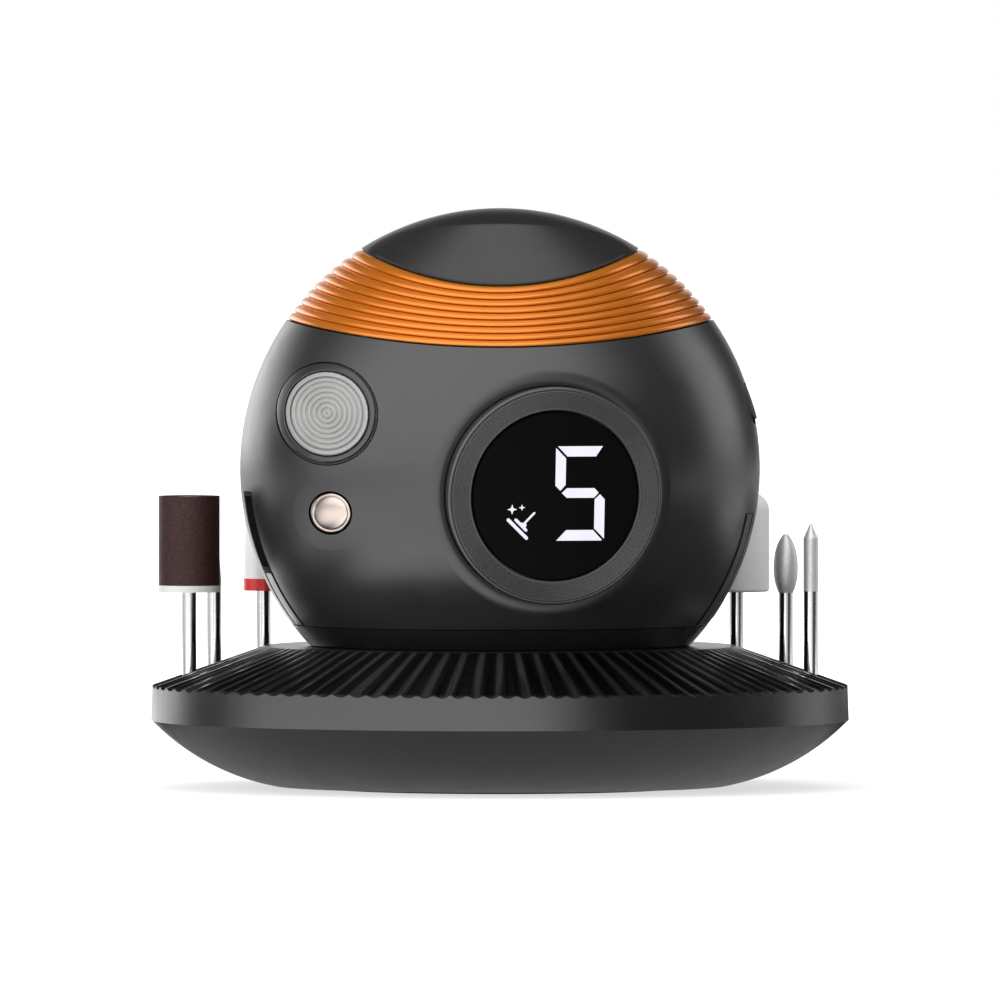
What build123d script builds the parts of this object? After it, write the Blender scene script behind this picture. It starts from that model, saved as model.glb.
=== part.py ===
from build123d import *
from math import asin, cos, degrees, pi, radians, sin, sqrt
import os

# A desk-top electric nail trimmer: a ball-shaped control unit on a round base that holds six bits.
# Millimetres, +Z up, front towards -Y, origin at the centre of the base's underside.

os.makedirs("parts", exist_ok=True)

# Driving dimensions of the ball
ball_radius = 43.0
shell_wall = 2.0
neck_inset = 11.6  # from the ball's widest line in to where it meets the base
neck_ring_height = 3.5
seam_y = 3.0  # the front and rear shells meet on this plane
shell_gap = 0.12  # shadow line between outer pieces

# Driving dimensions of the base
base_overhang = 14.5  # how far the base stands out past the ball
rim_flare = 0.2
rim_top = 17.1
rim_bottom = 11.3
plateau_height = 23.6
plateau_inset = 18.5  # the ribbed cone's width, from the rim to the plateau
deck_wall = 2.2
bowl_wall = 2.2
bowl_floor = 0.5
flute_count = 104
flute_depth = 0.45
flute_share = 0.88  # of the spacing between two flutes
flute_bunching = 0.11  # how far the flutes open out towards the sides, in radians
flute_overrun = 1.08
foot_radius = 29.0
foot_width = 7.0
foot_height = 1.6
spigot_inset = 7.4  # from the ball's foot to the spigot that drops into the deck
spigot_gap = 0.3
pocket_depth = 2.5
ballast_reach = 6.0
ballast_height = 4.0

# Driving dimensions of the bits and their sockets
shank_radius = 2.35 / 2
socket_clearance = 0.06
socket_depth = 6.6
grommet_sink = 1.2  # the sleeves end this far below the ribbed cone
bit_inset = 6.1  # from the rim to the circle of bits
bit_angles = (0.0, 22.7, 40.1)  # behind the side direction, the same on both sides
grommet_wall = 1.0

# Driving dimensions of the ribbed band and the top cap
band_wall = 2.8
band_low = 20.7  # heights from the ball's centre, at the middle of the front
band_high = 30.8
band_low_side = 24.5  # and where the same edges meet the ball's outline
band_high_side = 36.4
band_seat = 0.2  # the top frame lies this far below the band
rib_count = 9
rib_valley = 0.35
valley_width = 0.6
scoop_axis_tilt = 20.0  # the scoop is turned about an axis this far above the front direction
scoop_angle = 38.5
scoop_half_angle = 12.0
scoop_depth = 0.5
scoop_wall = 2.0

# Driving dimensions of the dial
dial_azimuth = 12.6
dial_drop = 4.9
dial_radius = 17.75
dial_lip = 0.8  # bevel of the dial's outer edge
dial_flange = 0.8  # keeps the dial behind the shell
dial_inset = 1.0  # the dial's face lies this far inside the top of the ball
dial_face_width = 3.8  # from the dial's outside to the glass
glass_thickness = 1.0
glass_rim = 0.95  # the glass stands out this far past the tube that carries it
carrier_wall = 1.2
running_clearance = 0.05
dial_gap = 0.2
dish_width = 2.4
dish_depth = 0.9

# Driving dimensions of the lamp and the power button
lamp_x = -28.5
lamp_z = 9.7  # above the ball's centre
lamp_radius = 8.35
lens_radius = 6.85
button_x = -27.9
button_z = -6.6
button_radius = 3.3
button_gap = 0.3
button_travel = 0.8
guide_wall = 1.4

# Driving dimensions of the side strips and the slot
strip_front = -12.4
strip_back = -6.3
slot_top = -3.6  # heights from the ball's centre
slot_bottom = -16.9
right_strip_top = -7.2
slot_depth = 5.0
trim_flange = 1.0
liner_wall = 0.6
jack_radius = 1.8
jack_length = 10.0

# Driving dimensions of the rocker key
key_length = 8.0
key_height = 6.0
key_tilt = 4.0  # degrees each way from level
key_z = 10.4  # above the ball's centre, where the key crosses the shell's inside
key_y = -2.5
key_proud = 0.15
key_gap = 0.45
pin_radius = 0.6

# Driving dimensions of the charging port
port_azimuth = 16.0
port_width = 8.94
port_height = 3.26
port_length = 7.3
flap_width = 10.4
flap_top = -21.1
flap_bottom = -25.2
flap_proud = 0.45
flap_recess = 0.9

# Driving dimensions of the inner pieces
cell_radius = 9.2
cell_length = 50.0
board_thickness = 1.6
plate_thickness = 2.0
screw_radius = 0.85
screw_clearance = 0.05
head_radius = 1.9
head_height = 1.3
head_sink = 0.2  # a sunk head lies this far below the surface
cross_length = 2.4  # of the cross recess in a head
cross_width = 0.5
cross_depth = 0.6
boss_radius = 3.0
seat_gap = 0.1

# Places worked out from the driving dimensions
inner_radius = ball_radius - shell_wall
base_radius = ball_radius + base_overhang
neck_radius = ball_radius - neck_inset
glass_radius = dial_radius - dial_face_width
carrier_radius = glass_radius - glass_rim
ball_height = plateau_height + sqrt(ball_radius**2 - neck_radius**2)
centre = Vector(0, 0, ball_height)
neck_top = plateau_height + neck_ring_height
plateau_radius = base_radius - plateau_inset
bit_circle = base_radius - bit_inset
socket_radius = shank_radius + socket_clearance
grommet_radius = socket_radius + grommet_wall
bit_spots = [
    (side * bit_circle * cos(radians(angle)), bit_circle * sin(radians(angle)))
    for side in (-1, 1)
    for angle in bit_angles
]


def sphere_height(radius, offset):
    # Height of a sphere's surface above a plane through its centre, at this offset from the axis
    return sqrt(radius**2 - offset**2)


def band_line(share, lift):
    # Two ends and the middle of a line at this share of the band: an arc that rises towards the sides
    middle = band_low + (band_high - band_low) * share
    side = band_low_side + (band_high_side - band_low_side) * share
    rise = side - middle
    radius = (sphere_height(ball_radius, side) ** 2 + rise**2) / (2 * rise)
    reach = ball_radius + 2
    end = middle + radius - sqrt(radius**2 - reach**2)
    return (-reach, end + lift), (0, middle + lift), (reach, end + lift)


def band_slab(low, high):
    # The space between two of the band's lines, drawn straight through the ball from front to back
    with BuildPart() as slab:
        with BuildSketch(Plane(origin=centre, x_dir=(1, 0, 0), z_dir=(0, -1, 0))):
            with BuildLine():
                low_arc = ThreePointArc(*band_line(*low))
                high_arc = ThreePointArc(*band_line(*high))
                Line(low_arc @ 0, high_arc @ 0)
                Line(low_arc @ 1, high_arc @ 1)
            make_face()
        extrude(amount=ball_radius + 2, both=True)
    return slab.part


seat_height = band_low - band_seat
seat_plane = Plane.XY.offset(ball_height + seat_height)
above_shell = band_slab((0, 0), (0, ball_radius))

# Base bowl: one turned shell with a crowned underside, a groove for the foot ring and screw wells
bowl_rim = base_radius + rim_flare - 0.1
bowl_mid = (bowl_rim - 7.9, 5.1)
screw_circle = 17.0
bowl_floor_top = foot_height + 1.4
screw_seat = bowl_floor + head_height + head_sink

with BuildPart() as base_bowl:
    with BuildSketch(Plane.XZ):
        with BuildLine():
            Line((0, bowl_floor), (bowl_rim - 20.1, bowl_floor))
            ThreePointArc((bowl_rim - 20.1, bowl_floor), bowl_mid, (bowl_rim, rim_bottom))
            Line((bowl_rim, rim_bottom), (bowl_rim - bowl_wall, rim_bottom))
            ThreePointArc(
                (bowl_rim - bowl_wall, rim_bottom),
                (bowl_mid[0] - 1.4, bowl_mid[1] + 1.7),
                (bowl_rim - 20.6, bowl_floor_top),
            )
            Line((bowl_rim - 20.6, bowl_floor_top), (0, bowl_floor_top))
            Line((0, bowl_floor_top), (0, bowl_floor))
        make_face()
    revolve(axis=Axis.Z)
    with BuildSketch(Plane.XY.offset(bowl_floor)):
        Circle(foot_radius)
        Circle(foot_radius - foot_width, mode=Mode.SUBTRACT)
    extrude(amount=foot_height - bowl_floor, mode=Mode.SUBTRACT)
    with BuildSketch(Plane.XY.offset(bowl_floor)):
        with PolarLocations(screw_circle, 4, start_angle=45):
            Circle(head_radius + 0.4)
    extrude(amount=screw_seat - bowl_floor, mode=Mode.SUBTRACT)
    with BuildSketch(Plane.XY.offset(bowl_floor)):
        with PolarLocations(screw_circle, 4, start_angle=45):
            Circle(screw_radius + 0.3)
    extrude(amount=bowl_floor_top, mode=Mode.SUBTRACT)
base_bowl.part.label = "base_bowl"
export_step(base_bowl.part, "parts/base_bowl.step")

# Foot ring: a rubber ring glued in the bowl's groove
with BuildPart() as foot_ring:
    with BuildSketch():
        Circle(foot_radius - seat_gap)
        Circle(foot_radius - foot_width + seat_gap, mode=Mode.SUBTRACT)
    extrude(amount=foot_height)
    chamfer(foot_ring.edges().group_by(Axis.Z)[0], 0.3)
foot_ring.part.label = "foot_ring"
export_step(foot_ring.part, "parts/foot_ring.step")

# Ribbed deck: the base's top, with a fluted cone, a flat plateau and a pocket for the ball's spigot
spigot_radius = neck_radius - spigot_inset
pocket_radius = spigot_radius + spigot_gap
pocket_floor = plateau_height - pocket_depth
cup_bottom = pocket_floor - deck_wall
deck_post_radius = 3.2


def flute_cutter(turn):
    # A slim round bar that sinks into the cone towards the rim and leaves a shallow groove
    azimuth = turn - flute_bunching * sin(2 * turn)
    spacing = (1 - 2 * flute_bunching * cos(2 * turn)) * 2 * pi / flute_count * base_radius
    half_width = flute_share * spacing / 2
    radius = (half_width**2 + flute_depth**2) / (2 * flute_depth)
    slope = Vector(plateau_inset, 0, rim_top - plateau_height)
    up = Vector(plateau_height - rim_top, 0, plateau_inset).normalized()
    start = Vector(plateau_radius, 0, plateau_height) + up * radius
    end = start + (slope - up * flute_depth) * flute_overrun
    bar = Plane(origin=start, z_dir=end - start) * Cylinder(
        radius, (end - start).length, align=(Align.CENTER, Align.CENTER, Align.MIN)
    )
    return Rot(0, 0, degrees(azimuth) - 90) * bar


flute_cutters = [flute_cutter(2 * pi * (step + 0.5) / flute_count) for step in range(flute_count)]

with BuildPart() as ribbed_deck:
    with BuildSketch(Plane.XZ):
        with BuildLine():
            Polyline(
                (0, plateau_height),
                (plateau_radius, plateau_height),
                (base_radius, rim_top),
                (base_radius + rim_flare, rim_bottom),
                (base_radius + rim_flare - deck_wall, rim_bottom),
                (base_radius - deck_wall, rim_top - deck_wall * 0.75),
                (plateau_radius, plateau_height - deck_wall),
                (pocket_radius + deck_wall, plateau_height - deck_wall),
                (pocket_radius + deck_wall, cup_bottom),
                (0, cup_bottom),
                close=True,
            )
        make_face()
    revolve(axis=Axis.Z)
    add(flute_cutters, mode=Mode.SUBTRACT)
    with BuildSketch(Plane.XY.offset(pocket_floor)):
        Circle(pocket_radius)
    extrude(amount=pocket_depth, mode=Mode.SUBTRACT)
    with BuildSketch(Plane.XY.offset(cup_bottom)):
        with PolarLocations(screw_circle, 4, start_angle=45):
            Circle(deck_post_radius)
    extrude(amount=bowl_floor_top - cup_bottom)
    with BuildSketch(Plane.XY.offset(bowl_floor_top)):
        with PolarLocations(screw_circle, 4, start_angle=45):
            Circle(screw_radius + screw_clearance)
    extrude(amount=10, mode=Mode.SUBTRACT)
    with BuildSketch(Plane.XY.offset(rim_bottom)):
        with Locations(bit_spots):
            Circle(grommet_radius + running_clearance)
    extrude(amount=plateau_height - rim_bottom, mode=Mode.SUBTRACT)
ribbed_deck.part.label = "ribbed_deck"
export_step(ribbed_deck.part, "parts/ribbed_deck.step")

# Ballast plate: a steel disc between the screw posts and the bowl's side, so the ball can't tip the base
ballast_outer = foot_radius + ballast_reach
ballast_inner = screw_circle + deck_post_radius + 1.0
with BuildPart() as ballast_plate:
    with BuildSketch(Plane.XY.offset(bowl_floor_top)):
        Circle(ballast_outer)
        Circle(ballast_inner, mode=Mode.SUBTRACT)
    extrude(amount=ballast_height)
ballast_plate.part.label = "ballast_plate"
export_step(ballast_plate.part, "parts/ballast_plate.step")

# Base screws: four, from below, through the bowl into the deck's posts
with BuildPart() as base_screws:
    with BuildSketch(Plane.XY.offset(screw_seat - head_height)):
        with PolarLocations(screw_circle, 4, start_angle=45):
            Circle(head_radius)
    extrude(amount=head_height)
    with BuildSketch(Plane.XY.offset(screw_seat)):
        with PolarLocations(screw_circle, 4, start_angle=45):
            Circle(screw_radius)
    extrude(amount=bowl_floor_top + 8 - screw_seat)
    with BuildSketch(Plane.XY.offset(screw_seat - head_height)):
        with PolarLocations(screw_circle, 4, start_angle=45):
            Rectangle(cross_length, cross_width)
            Rectangle(cross_width, cross_length)
    extrude(amount=cross_depth, mode=Mode.SUBTRACT)
base_screws.part.label = "base_screws"
export_step(base_screws.part, "parts/base_screws.step")

# Bit grommets: six blind sleeves pressed into the deck, each holding one bit's shank
cone_slope = (plateau_height - rim_top) / plateau_inset
cone_at_bits = rim_top + bit_inset * cone_slope
grommet_top = cone_at_bits - grommet_sink
socket_floor = grommet_top - socket_depth
grommet_floor = 0.8
with BuildPart() as bit_grommets:
    with BuildSketch(Plane.XY.offset(socket_floor - grommet_floor)):
        with Locations(bit_spots):
            Circle(grommet_radius)
    extrude(amount=socket_depth + grommet_floor)
    chamfer(bit_grommets.edges().group_by(Axis.Z)[-1], 0.25)
    with BuildSketch(Plane.XY.offset(socket_floor)):
        with Locations(bit_spots):
            Circle(socket_radius)
    extrude(amount=socket_depth, mode=Mode.SUBTRACT)
bit_grommets.part.label = "bit_grommets"
export_step(bit_grommets.part, "parts/bit_grommets.step")

# Planes of the dial, the lamp, the button, the key and the port
dial_normal = Vector(
    sin(radians(dial_azimuth)) * cos(radians(dial_drop)),
    -cos(radians(dial_azimuth)) * cos(radians(dial_drop)),
    -sin(radians(dial_drop)),
)
dial_right = Vector(cos(radians(dial_azimuth)), sin(radians(dial_azimuth)), 0)
dial_plane = Plane(origin=centre, x_dir=dial_right, z_dir=dial_normal)
dial_face = ball_radius - dial_inset
collar_inner = dial_radius + 1.25
collar_outer = collar_inner + 2.0
carrier_seat = sphere_height(inner_radius, collar_outer) - 2.2
dial_bottom = carrier_seat + 0.3
carrier_flange = 1.6
glass_top = dial_face - 0.3
glass_bottom = glass_top - glass_thickness
dial_screw_circle = (collar_inner + collar_outer) / 2
dial_section = Plane(origin=centre, x_dir=dial_right, z_dir=dial_normal.cross(dial_right))
dial_axis = Axis((centre.X, centre.Y, centre.Z), dial_normal)
dial_hole = dial_radius + dial_gap
dish_edge = dial_hole + dish_width
dish_start_slope = dial_hole / sphere_height(ball_radius, dial_hole) - 2 * dish_depth / dish_width

front = Vector(0, -1, 0)
lamp_plane = Plane(origin=centre + Vector(lamp_x, 0, lamp_z), x_dir=(1, 0, 0), z_dir=front)
button_plane = Plane(origin=centre + Vector(button_x, 0, button_z), x_dir=(1, 0, 0), z_dir=front)
guide_inner = button_radius + 1.5
guide_outer = guide_inner + guide_wall
# Depth at which the guide's outer corner still lies inside the shell
button_corner = sqrt(inner_radius**2 - (abs(button_x) + guide_inner) ** 2 - button_z**2)
button_flange = 0.8
flange_front = button_corner - 0.5
switch_face = flange_front - button_flange - button_travel - 1.0
guide_back = switch_face - 1.8

key_elevation = degrees(asin(key_z / inner_radius))
key_direction = Vector(cos(radians(key_elevation)), 0, sin(radians(key_elevation)))
key_plane = Plane(origin=centre + Vector(0, key_y, 0), x_dir=(0, 1, 0), z_dir=key_direction)
pivot = inner_radius - 1.7
frame_floor = inner_radius - 4.3
frame_base = frame_floor - 1.2

port_out = Vector(cos(radians(port_azimuth)), sin(radians(port_azimuth)), 0)
port_side = Vector(-sin(radians(port_azimuth)), cos(radians(port_azimuth)), 0)
port_plane = Plane(origin=centre, x_dir=port_side, z_dir=port_out)

# Screw bosses that join the two shells: a pair below the band and a pair above the charging port
shell_screw_radius = inner_radius - boss_radius + 0.6
shell_screw_spots = [
    (side * sphere_height(shell_screw_radius, height), height)
    for side in (-1, 1)
    for height in (seat_height - 3.5, flap_top + 4.8)
]
front_boss_length = 8.0
head_seat = 5.0
rear_plane = Plane(origin=centre + Vector(0, seam_y, 0), x_dir=(1, 0, 0), z_dir=(0, -1, 0))

# Posts and ribs at the shells' lower edge, for the screws of the bottom plate
plate_bottom = plateau_height + 0.8
plate_top = plate_bottom + plate_thickness
plate_radius = neck_radius - 1.0
plate_screw_circle = plate_radius - 3.8
plate_post_radius = 2.6
plate_post_top = plate_top + 4.6

# Ledge at the shells' upper edge, for the top frame
ledge_inner = sphere_height(inner_radius, seat_height) - 6.0
ledge_height = 1.4
frame_thickness = 1.6
cap_boss_circle = 12.0
frame_screw_circle = ledge_inner + 1.7


def strip_box(low, high, side, grow):
    # A block through the ball's side wall, between the strip's front and rear seam planes
    size = Vector(ball_radius, strip_back - strip_front + 2 * grow, high - low + 2 * grow)
    middle = Vector(side * ball_radius, (strip_front + strip_back) / 2, (low + high) / 2)
    return Pos(*(centre + middle)) * Box(size.X, size.Y, size.Z)


neck_low = neck_top - ball_height  # the neck seam's height from the ball's centre
left_opening = strip_box(neck_low - 5, slot_top, -1, 0)
right_opening = strip_box(neck_low - 5, right_strip_top, 1, 0)

# Whole shell: the ball with all its bosses and openings, before it is cut at the seam
with BuildPart() as whole_shell:
    with Locations(centre):
        Sphere(ball_radius)
        Sphere(inner_radius, mode=Mode.SUBTRACT)
    with BuildSketch(dial_plane.offset(carrier_seat)):
        Circle(collar_outer)
        Circle(collar_inner, mode=Mode.SUBTRACT)
    extrude(amount=8)
    with BuildSketch(button_plane.offset(guide_back)):
        Circle(guide_outer)
    extrude(amount=ball_radius)
    with BuildSketch(seat_plane):
        Circle(inner_radius)
        Circle(ledge_inner, mode=Mode.SUBTRACT)
    extrude(amount=-ledge_height)
    with BuildSketch(rear_plane.offset(-14)):
        with Locations(shell_screw_spots):
            Circle(boss_radius)
    extrude(amount=14)
    with BuildSketch(rear_plane):
        with Locations(shell_screw_spots):
            Circle(boss_radius)
    extrude(amount=front_boss_length)
    with BuildSketch(Plane.XY.offset(plate_top)):
        with PolarLocations(plate_screw_circle, 4, start_angle=45):
            Circle(plate_post_radius)
        with PolarLocations(plate_screw_circle + 5, 4, start_angle=45):
            Rectangle(10, 1.6)
    extrude(amount=plate_post_top - plate_top)
    with Locations(centre):
        Sphere(ball_radius, mode=Mode.INTERSECT)
    with BuildSketch(button_plane.offset(guide_back)):
        Circle(guide_inner)
    extrude(amount=flange_front + 0.4 - guide_back, mode=Mode.SUBTRACT)
    with BuildSketch(button_plane.offset(guide_back)):
        Circle(button_radius + button_gap)
    extrude(amount=ball_radius, mode=Mode.SUBTRACT)
    with BuildSketch(lamp_plane.offset(5)):
        Circle(lamp_radius + 0.15)
    extrude(amount=ball_radius, mode=Mode.SUBTRACT)
    with BuildSketch(dial_plane.offset(carrier_seat)):
        Circle(dial_hole)
    extrude(amount=ball_radius, mode=Mode.SUBTRACT)
    with BuildSketch(dial_section):
        with BuildLine():
            dish = Spline(
                (dial_hole, dish_depth - sphere_height(ball_radius, dial_hole)),
                (dish_edge, -sphere_height(ball_radius, dish_edge)),
                tangents=((1, dish_start_slope), (sphere_height(ball_radius, dish_edge), dish_edge)),
            )
            Polyline(dish @ 1, (dish_edge, -ball_radius), (dial_hole, -ball_radius), dish @ 0)
        make_face()
    revolve(axis=dial_axis, mode=Mode.SUBTRACT)
    with BuildSketch(dial_plane.offset(carrier_seat)):
        with PolarLocations(dial_screw_circle, 3, start_angle=90):
            Circle(screw_radius)
    extrude(amount=3.0, mode=Mode.SUBTRACT)
    with BuildSketch(key_plane.offset(frame_base)):
        RectangleRounded(key_length + 0.6, key_height + 2 * key_gap, 1.7)
    extrude(amount=10, mode=Mode.SUBTRACT)
    with BuildSketch(rear_plane.offset(-head_seat - 20)):
        with Locations(shell_screw_spots):
            Circle(head_radius + 0.3)
    extrude(amount=20, mode=Mode.SUBTRACT)
    with BuildSketch(rear_plane.offset(-head_seat)):
        with Locations(shell_screw_spots):
            Circle(screw_radius + screw_clearance)
    extrude(amount=head_seat + front_boss_length - 1, mode=Mode.SUBTRACT)
    with BuildSketch(Plane.XY.offset(plate_top)):
        with PolarLocations(plate_screw_circle, 4, start_angle=45):
            Circle(screw_radius + screw_clearance)
    extrude(amount=plate_post_top - plate_top - 1, mode=Mode.SUBTRACT)
    with BuildSketch(seat_plane.offset(-ledge_height)):
        with PolarLocations(frame_screw_circle, 4, start_angle=45):
            Circle(screw_radius + screw_clearance)
    extrude(amount=ledge_height, mode=Mode.SUBTRACT)
    add(left_opening, mode=Mode.SUBTRACT)
    add(right_opening, mode=Mode.SUBTRACT)
    with BuildSketch(port_plane.offset(inner_radius - 14)):
        with Locations((0, (flap_top + flap_bottom) / 2)):
            RectangleRounded(port_width + 0.4, port_height + 0.4, 1.6)
    extrude(amount=20, mode=Mode.SUBTRACT)
    split(bisect_by=Plane.XY.offset(neck_top + shell_gap), keep=Keep.TOP)
    add(above_shell, mode=Mode.SUBTRACT)

# Recess for the port's flap, between two spheres
with BuildPart() as flap_pocket:
    with Locations(centre):
        Sphere(ball_radius + 2)
        Sphere(ball_radius - flap_recess, mode=Mode.SUBTRACT)
    with BuildSketch(port_plane):
        with Locations((0, (flap_top + flap_bottom) / 2)):
            RectangleRounded(flap_width + 0.4, flap_top - flap_bottom + 0.4, 1.0)
    extrude(amount=2 * ball_radius, mode=Mode.INTERSECT)

# Front shell
with BuildPart() as front_shell:
    add(whole_shell.part)
    split(bisect_by=Plane.XZ.offset(-seam_y), keep=Keep.TOP)
front_shell.part.label = "front_shell"
export_step(front_shell.part, "parts/front_shell.step")

# Rear shell
with BuildPart() as rear_shell:
    add(whole_shell.part)
    add(flap_pocket.part, mode=Mode.SUBTRACT)
    split(bisect_by=Plane.XZ.offset(-seam_y), keep=Keep.BOTTOM)
rear_shell.part.label = "rear_shell"
export_step(rear_shell.part, "parts/rear_shell.step")

# Shell screws: four long screws that enter from behind
with BuildPart() as shell_screws:
    with BuildSketch(rear_plane.offset(-head_seat - head_height)):
        with Locations(shell_screw_spots):
            Circle(head_radius)
    extrude(amount=head_height)
    with BuildSketch(rear_plane.offset(-head_seat)):
        with Locations(shell_screw_spots):
            Circle(screw_radius)
    extrude(amount=head_seat + front_boss_length - 2)
    with BuildSketch(rear_plane.offset(-head_seat - head_height)):
        with Locations(shell_screw_spots):
            Rectangle(cross_length, cross_width)
            Rectangle(cross_width, cross_length)
    extrude(amount=cross_depth, mode=Mode.SUBTRACT)
shell_screws.part.label = "shell_screws"
export_step(shell_screws.part, "parts/shell_screws.step")

# Neck ring: the glossy collar that closes the shells' lower edge and stands on the plateau
with BuildPart() as neck_ring:
    with Locations(centre):
        Sphere(ball_radius)
    split(bisect_by=Plane.XY.offset(neck_top), keep=Keep.BOTTOM)
    split(bisect_by=Plane.XY.offset(plateau_height), keep=Keep.TOP)
    with BuildSketch(Plane.XY.offset(plate_bottom)):
        Circle(plate_radius + seat_gap)
    extrude(amount=neck_ring_height, mode=Mode.SUBTRACT)
    with BuildSketch(Plane.XY.offset(plateau_height)):
        Circle(plate_radius - 2)
    extrude(amount=neck_ring_height, mode=Mode.SUBTRACT)
    chamfer(neck_ring.edges().group_by(Axis.Z)[0].sort_by(SortBy.LENGTH)[-1], 0.3)
neck_ring.part.label = "neck_ring"
export_step(neck_ring.part, "parts/neck_ring.step")

# Bottom plate: carries the boards and the battery, and its spigot drops into the deck's pocket
spigot_bottom = pocket_floor + spigot_gap
board_post_height = 5.1
board_posts = [(-14, -16), (14, -16), (-12, 12), (12, 12)]
board_bottom = plate_top + board_post_height
port_centre = ball_height + (flap_top + flap_bottom) / 2
port_board_top = port_centre - port_height / 2
port_board_bottom = port_board_top - 0.8
port_board_reach = (inner_radius - 27, inner_radius - 13)
port_board_middle = port_out * (sum(port_board_reach) / 2)
plate_to_board = Plane(
    origin=Vector(port_board_middle.X, port_board_middle.Y, plate_top), x_dir=port_out, z_dir=(0, 0, 1)
)
with BuildPart() as bottom_plate:
    with BuildSketch(Plane.XY.offset(plate_bottom)):
        Circle(plate_radius)
    extrude(amount=plate_thickness)
    with BuildSketch(Plane.XY.offset(spigot_bottom)):
        Circle(spigot_radius)
    extrude(amount=plate_bottom - spigot_bottom)
    with BuildSketch(Plane.XY.offset(plate_top)):
        with Locations(board_posts):
            Circle(2.0)
    extrude(amount=board_post_height)
    with BuildSketch(plate_to_board):
        with Locations((-4, 0), (4, 0)):
            Rectangle(2, 8)
    extrude(amount=port_board_bottom - plate_top)
    with BuildSketch(Plane.XY.offset(plate_bottom)):
        with PolarLocations(plate_screw_circle, 4, start_angle=45):
            Circle(screw_radius + 0.2)
    extrude(amount=plate_thickness, mode=Mode.SUBTRACT)
bottom_plate.part.label = "bottom_plate"
export_step(bottom_plate.part, "parts/bottom_plate.step")

# Bottom screws: four short screws that hold the plate to the shells' posts
with BuildPart() as bottom_screws:
    with BuildSketch(Plane.XY.offset(plate_bottom - 0.7)):
        with PolarLocations(plate_screw_circle, 4, start_angle=45):
            Circle(1.5)
    extrude(amount=0.7)
    with BuildSketch(Plane.XY.offset(plate_bottom)):
        with PolarLocations(plate_screw_circle, 4, start_angle=45):
            Circle(screw_radius)
    extrude(amount=plate_thickness + 3)
bottom_screws.part.label = "bottom_screws"
export_step(bottom_screws.part, "parts/bottom_screws.step")

# Ribbed band: nine ribs between the shells and the cap, parted by narrow valleys
band_space = band_slab((0, shell_gap), (1, -shell_gap))
valley_slabs = [
    band_slab((rib / rib_count, -valley_width / 2), (rib / rib_count, valley_width / 2))
    for rib in range(1, rib_count)
]
with BuildPart() as band_valleys:
    add(valley_slabs)
    with Locations(centre):
        Sphere(ball_radius - rib_valley, mode=Mode.SUBTRACT)

with BuildPart() as ribbed_band:
    with Locations(centre):
        Sphere(ball_radius)
        Sphere(ball_radius - band_wall, mode=Mode.SUBTRACT)
    add(band_space, mode=Mode.INTERSECT)
    add(band_valleys.part, mode=Mode.SUBTRACT)
ribbed_band.part.label = "ribbed_band"
export_step(ribbed_band.part, "parts/ribbed_band.step")

# Top cap: the crown of the ball, with a wide scoop that faces forward
scoop_reach = ball_radius * cos(radians(scoop_half_angle))
scoop_half_chord = ball_radius * sin(radians(scoop_half_angle))
scoop_round = (scoop_half_chord**2 + scoop_depth**2) / (2 * scoop_depth)
scoop_ring = scoop_reach + scoop_round - scoop_depth
scoop_normal = Vector(0, -cos(radians(scoop_axis_tilt)), sin(radians(scoop_axis_tilt)))
scoop_plane = Plane(
    origin=centre + scoop_normal * scoop_ring * cos(radians(scoop_angle)), z_dir=scoop_normal
)
scoop_major = scoop_ring * sin(radians(scoop_angle))
cap_boss_start = seat_plane.offset(frame_thickness)
cap_space = band_slab((1, 0), (1, ball_radius))

with BuildPart() as cap_cavity:
    with Locations(centre):
        Sphere(inner_radius)
    with Locations(scoop_plane):
        Torus(scoop_major, scoop_round + scoop_wall, mode=Mode.SUBTRACT)

with BuildPart() as cap_trim:
    with Locations(centre):
        Sphere(ball_radius)
    with Locations(scoop_plane):
        Torus(scoop_major, scoop_round, mode=Mode.SUBTRACT)

with BuildPart() as top_cap:
    with Locations(centre):
        Sphere(ball_radius)
    add(cap_cavity.part, mode=Mode.SUBTRACT)
    add(cap_space, mode=Mode.INTERSECT)
    with BuildSketch(cap_boss_start):
        with PolarLocations(cap_boss_circle, 3, start_angle=90):
            Circle(boss_radius)
    extrude(amount=ball_radius - seat_height)
    add(cap_trim.part, mode=Mode.INTERSECT)
    with BuildSketch(cap_boss_start):
        with PolarLocations(cap_boss_circle, 3, start_angle=90):
            Circle(screw_radius + screw_clearance)
    extrude(amount=6, mode=Mode.SUBTRACT)
top_cap.part.label = "top_cap"
export_step(top_cap.part, "parts/top_cap.step")

# Top frame: the inner plate that the cap is screwed to, and that is screwed to the shells' ledge
frame_outer = sphere_height(ball_radius - band_wall, seat_height + frame_thickness) - 0.4
with BuildPart() as top_frame:
    with BuildSketch(seat_plane):
        Circle(frame_outer)
        Circle(cap_boss_circle - 4, mode=Mode.SUBTRACT)
        with PolarLocations(cap_boss_circle, 3, start_angle=90):
            Circle(screw_radius + 0.2, mode=Mode.SUBTRACT)
        with PolarLocations(frame_screw_circle, 4, start_angle=45):
            Circle(screw_radius + 0.2, mode=Mode.SUBTRACT)
    extrude(amount=frame_thickness)
top_frame.part.label = "top_frame"
export_step(top_frame.part, "parts/top_frame.step")

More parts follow.
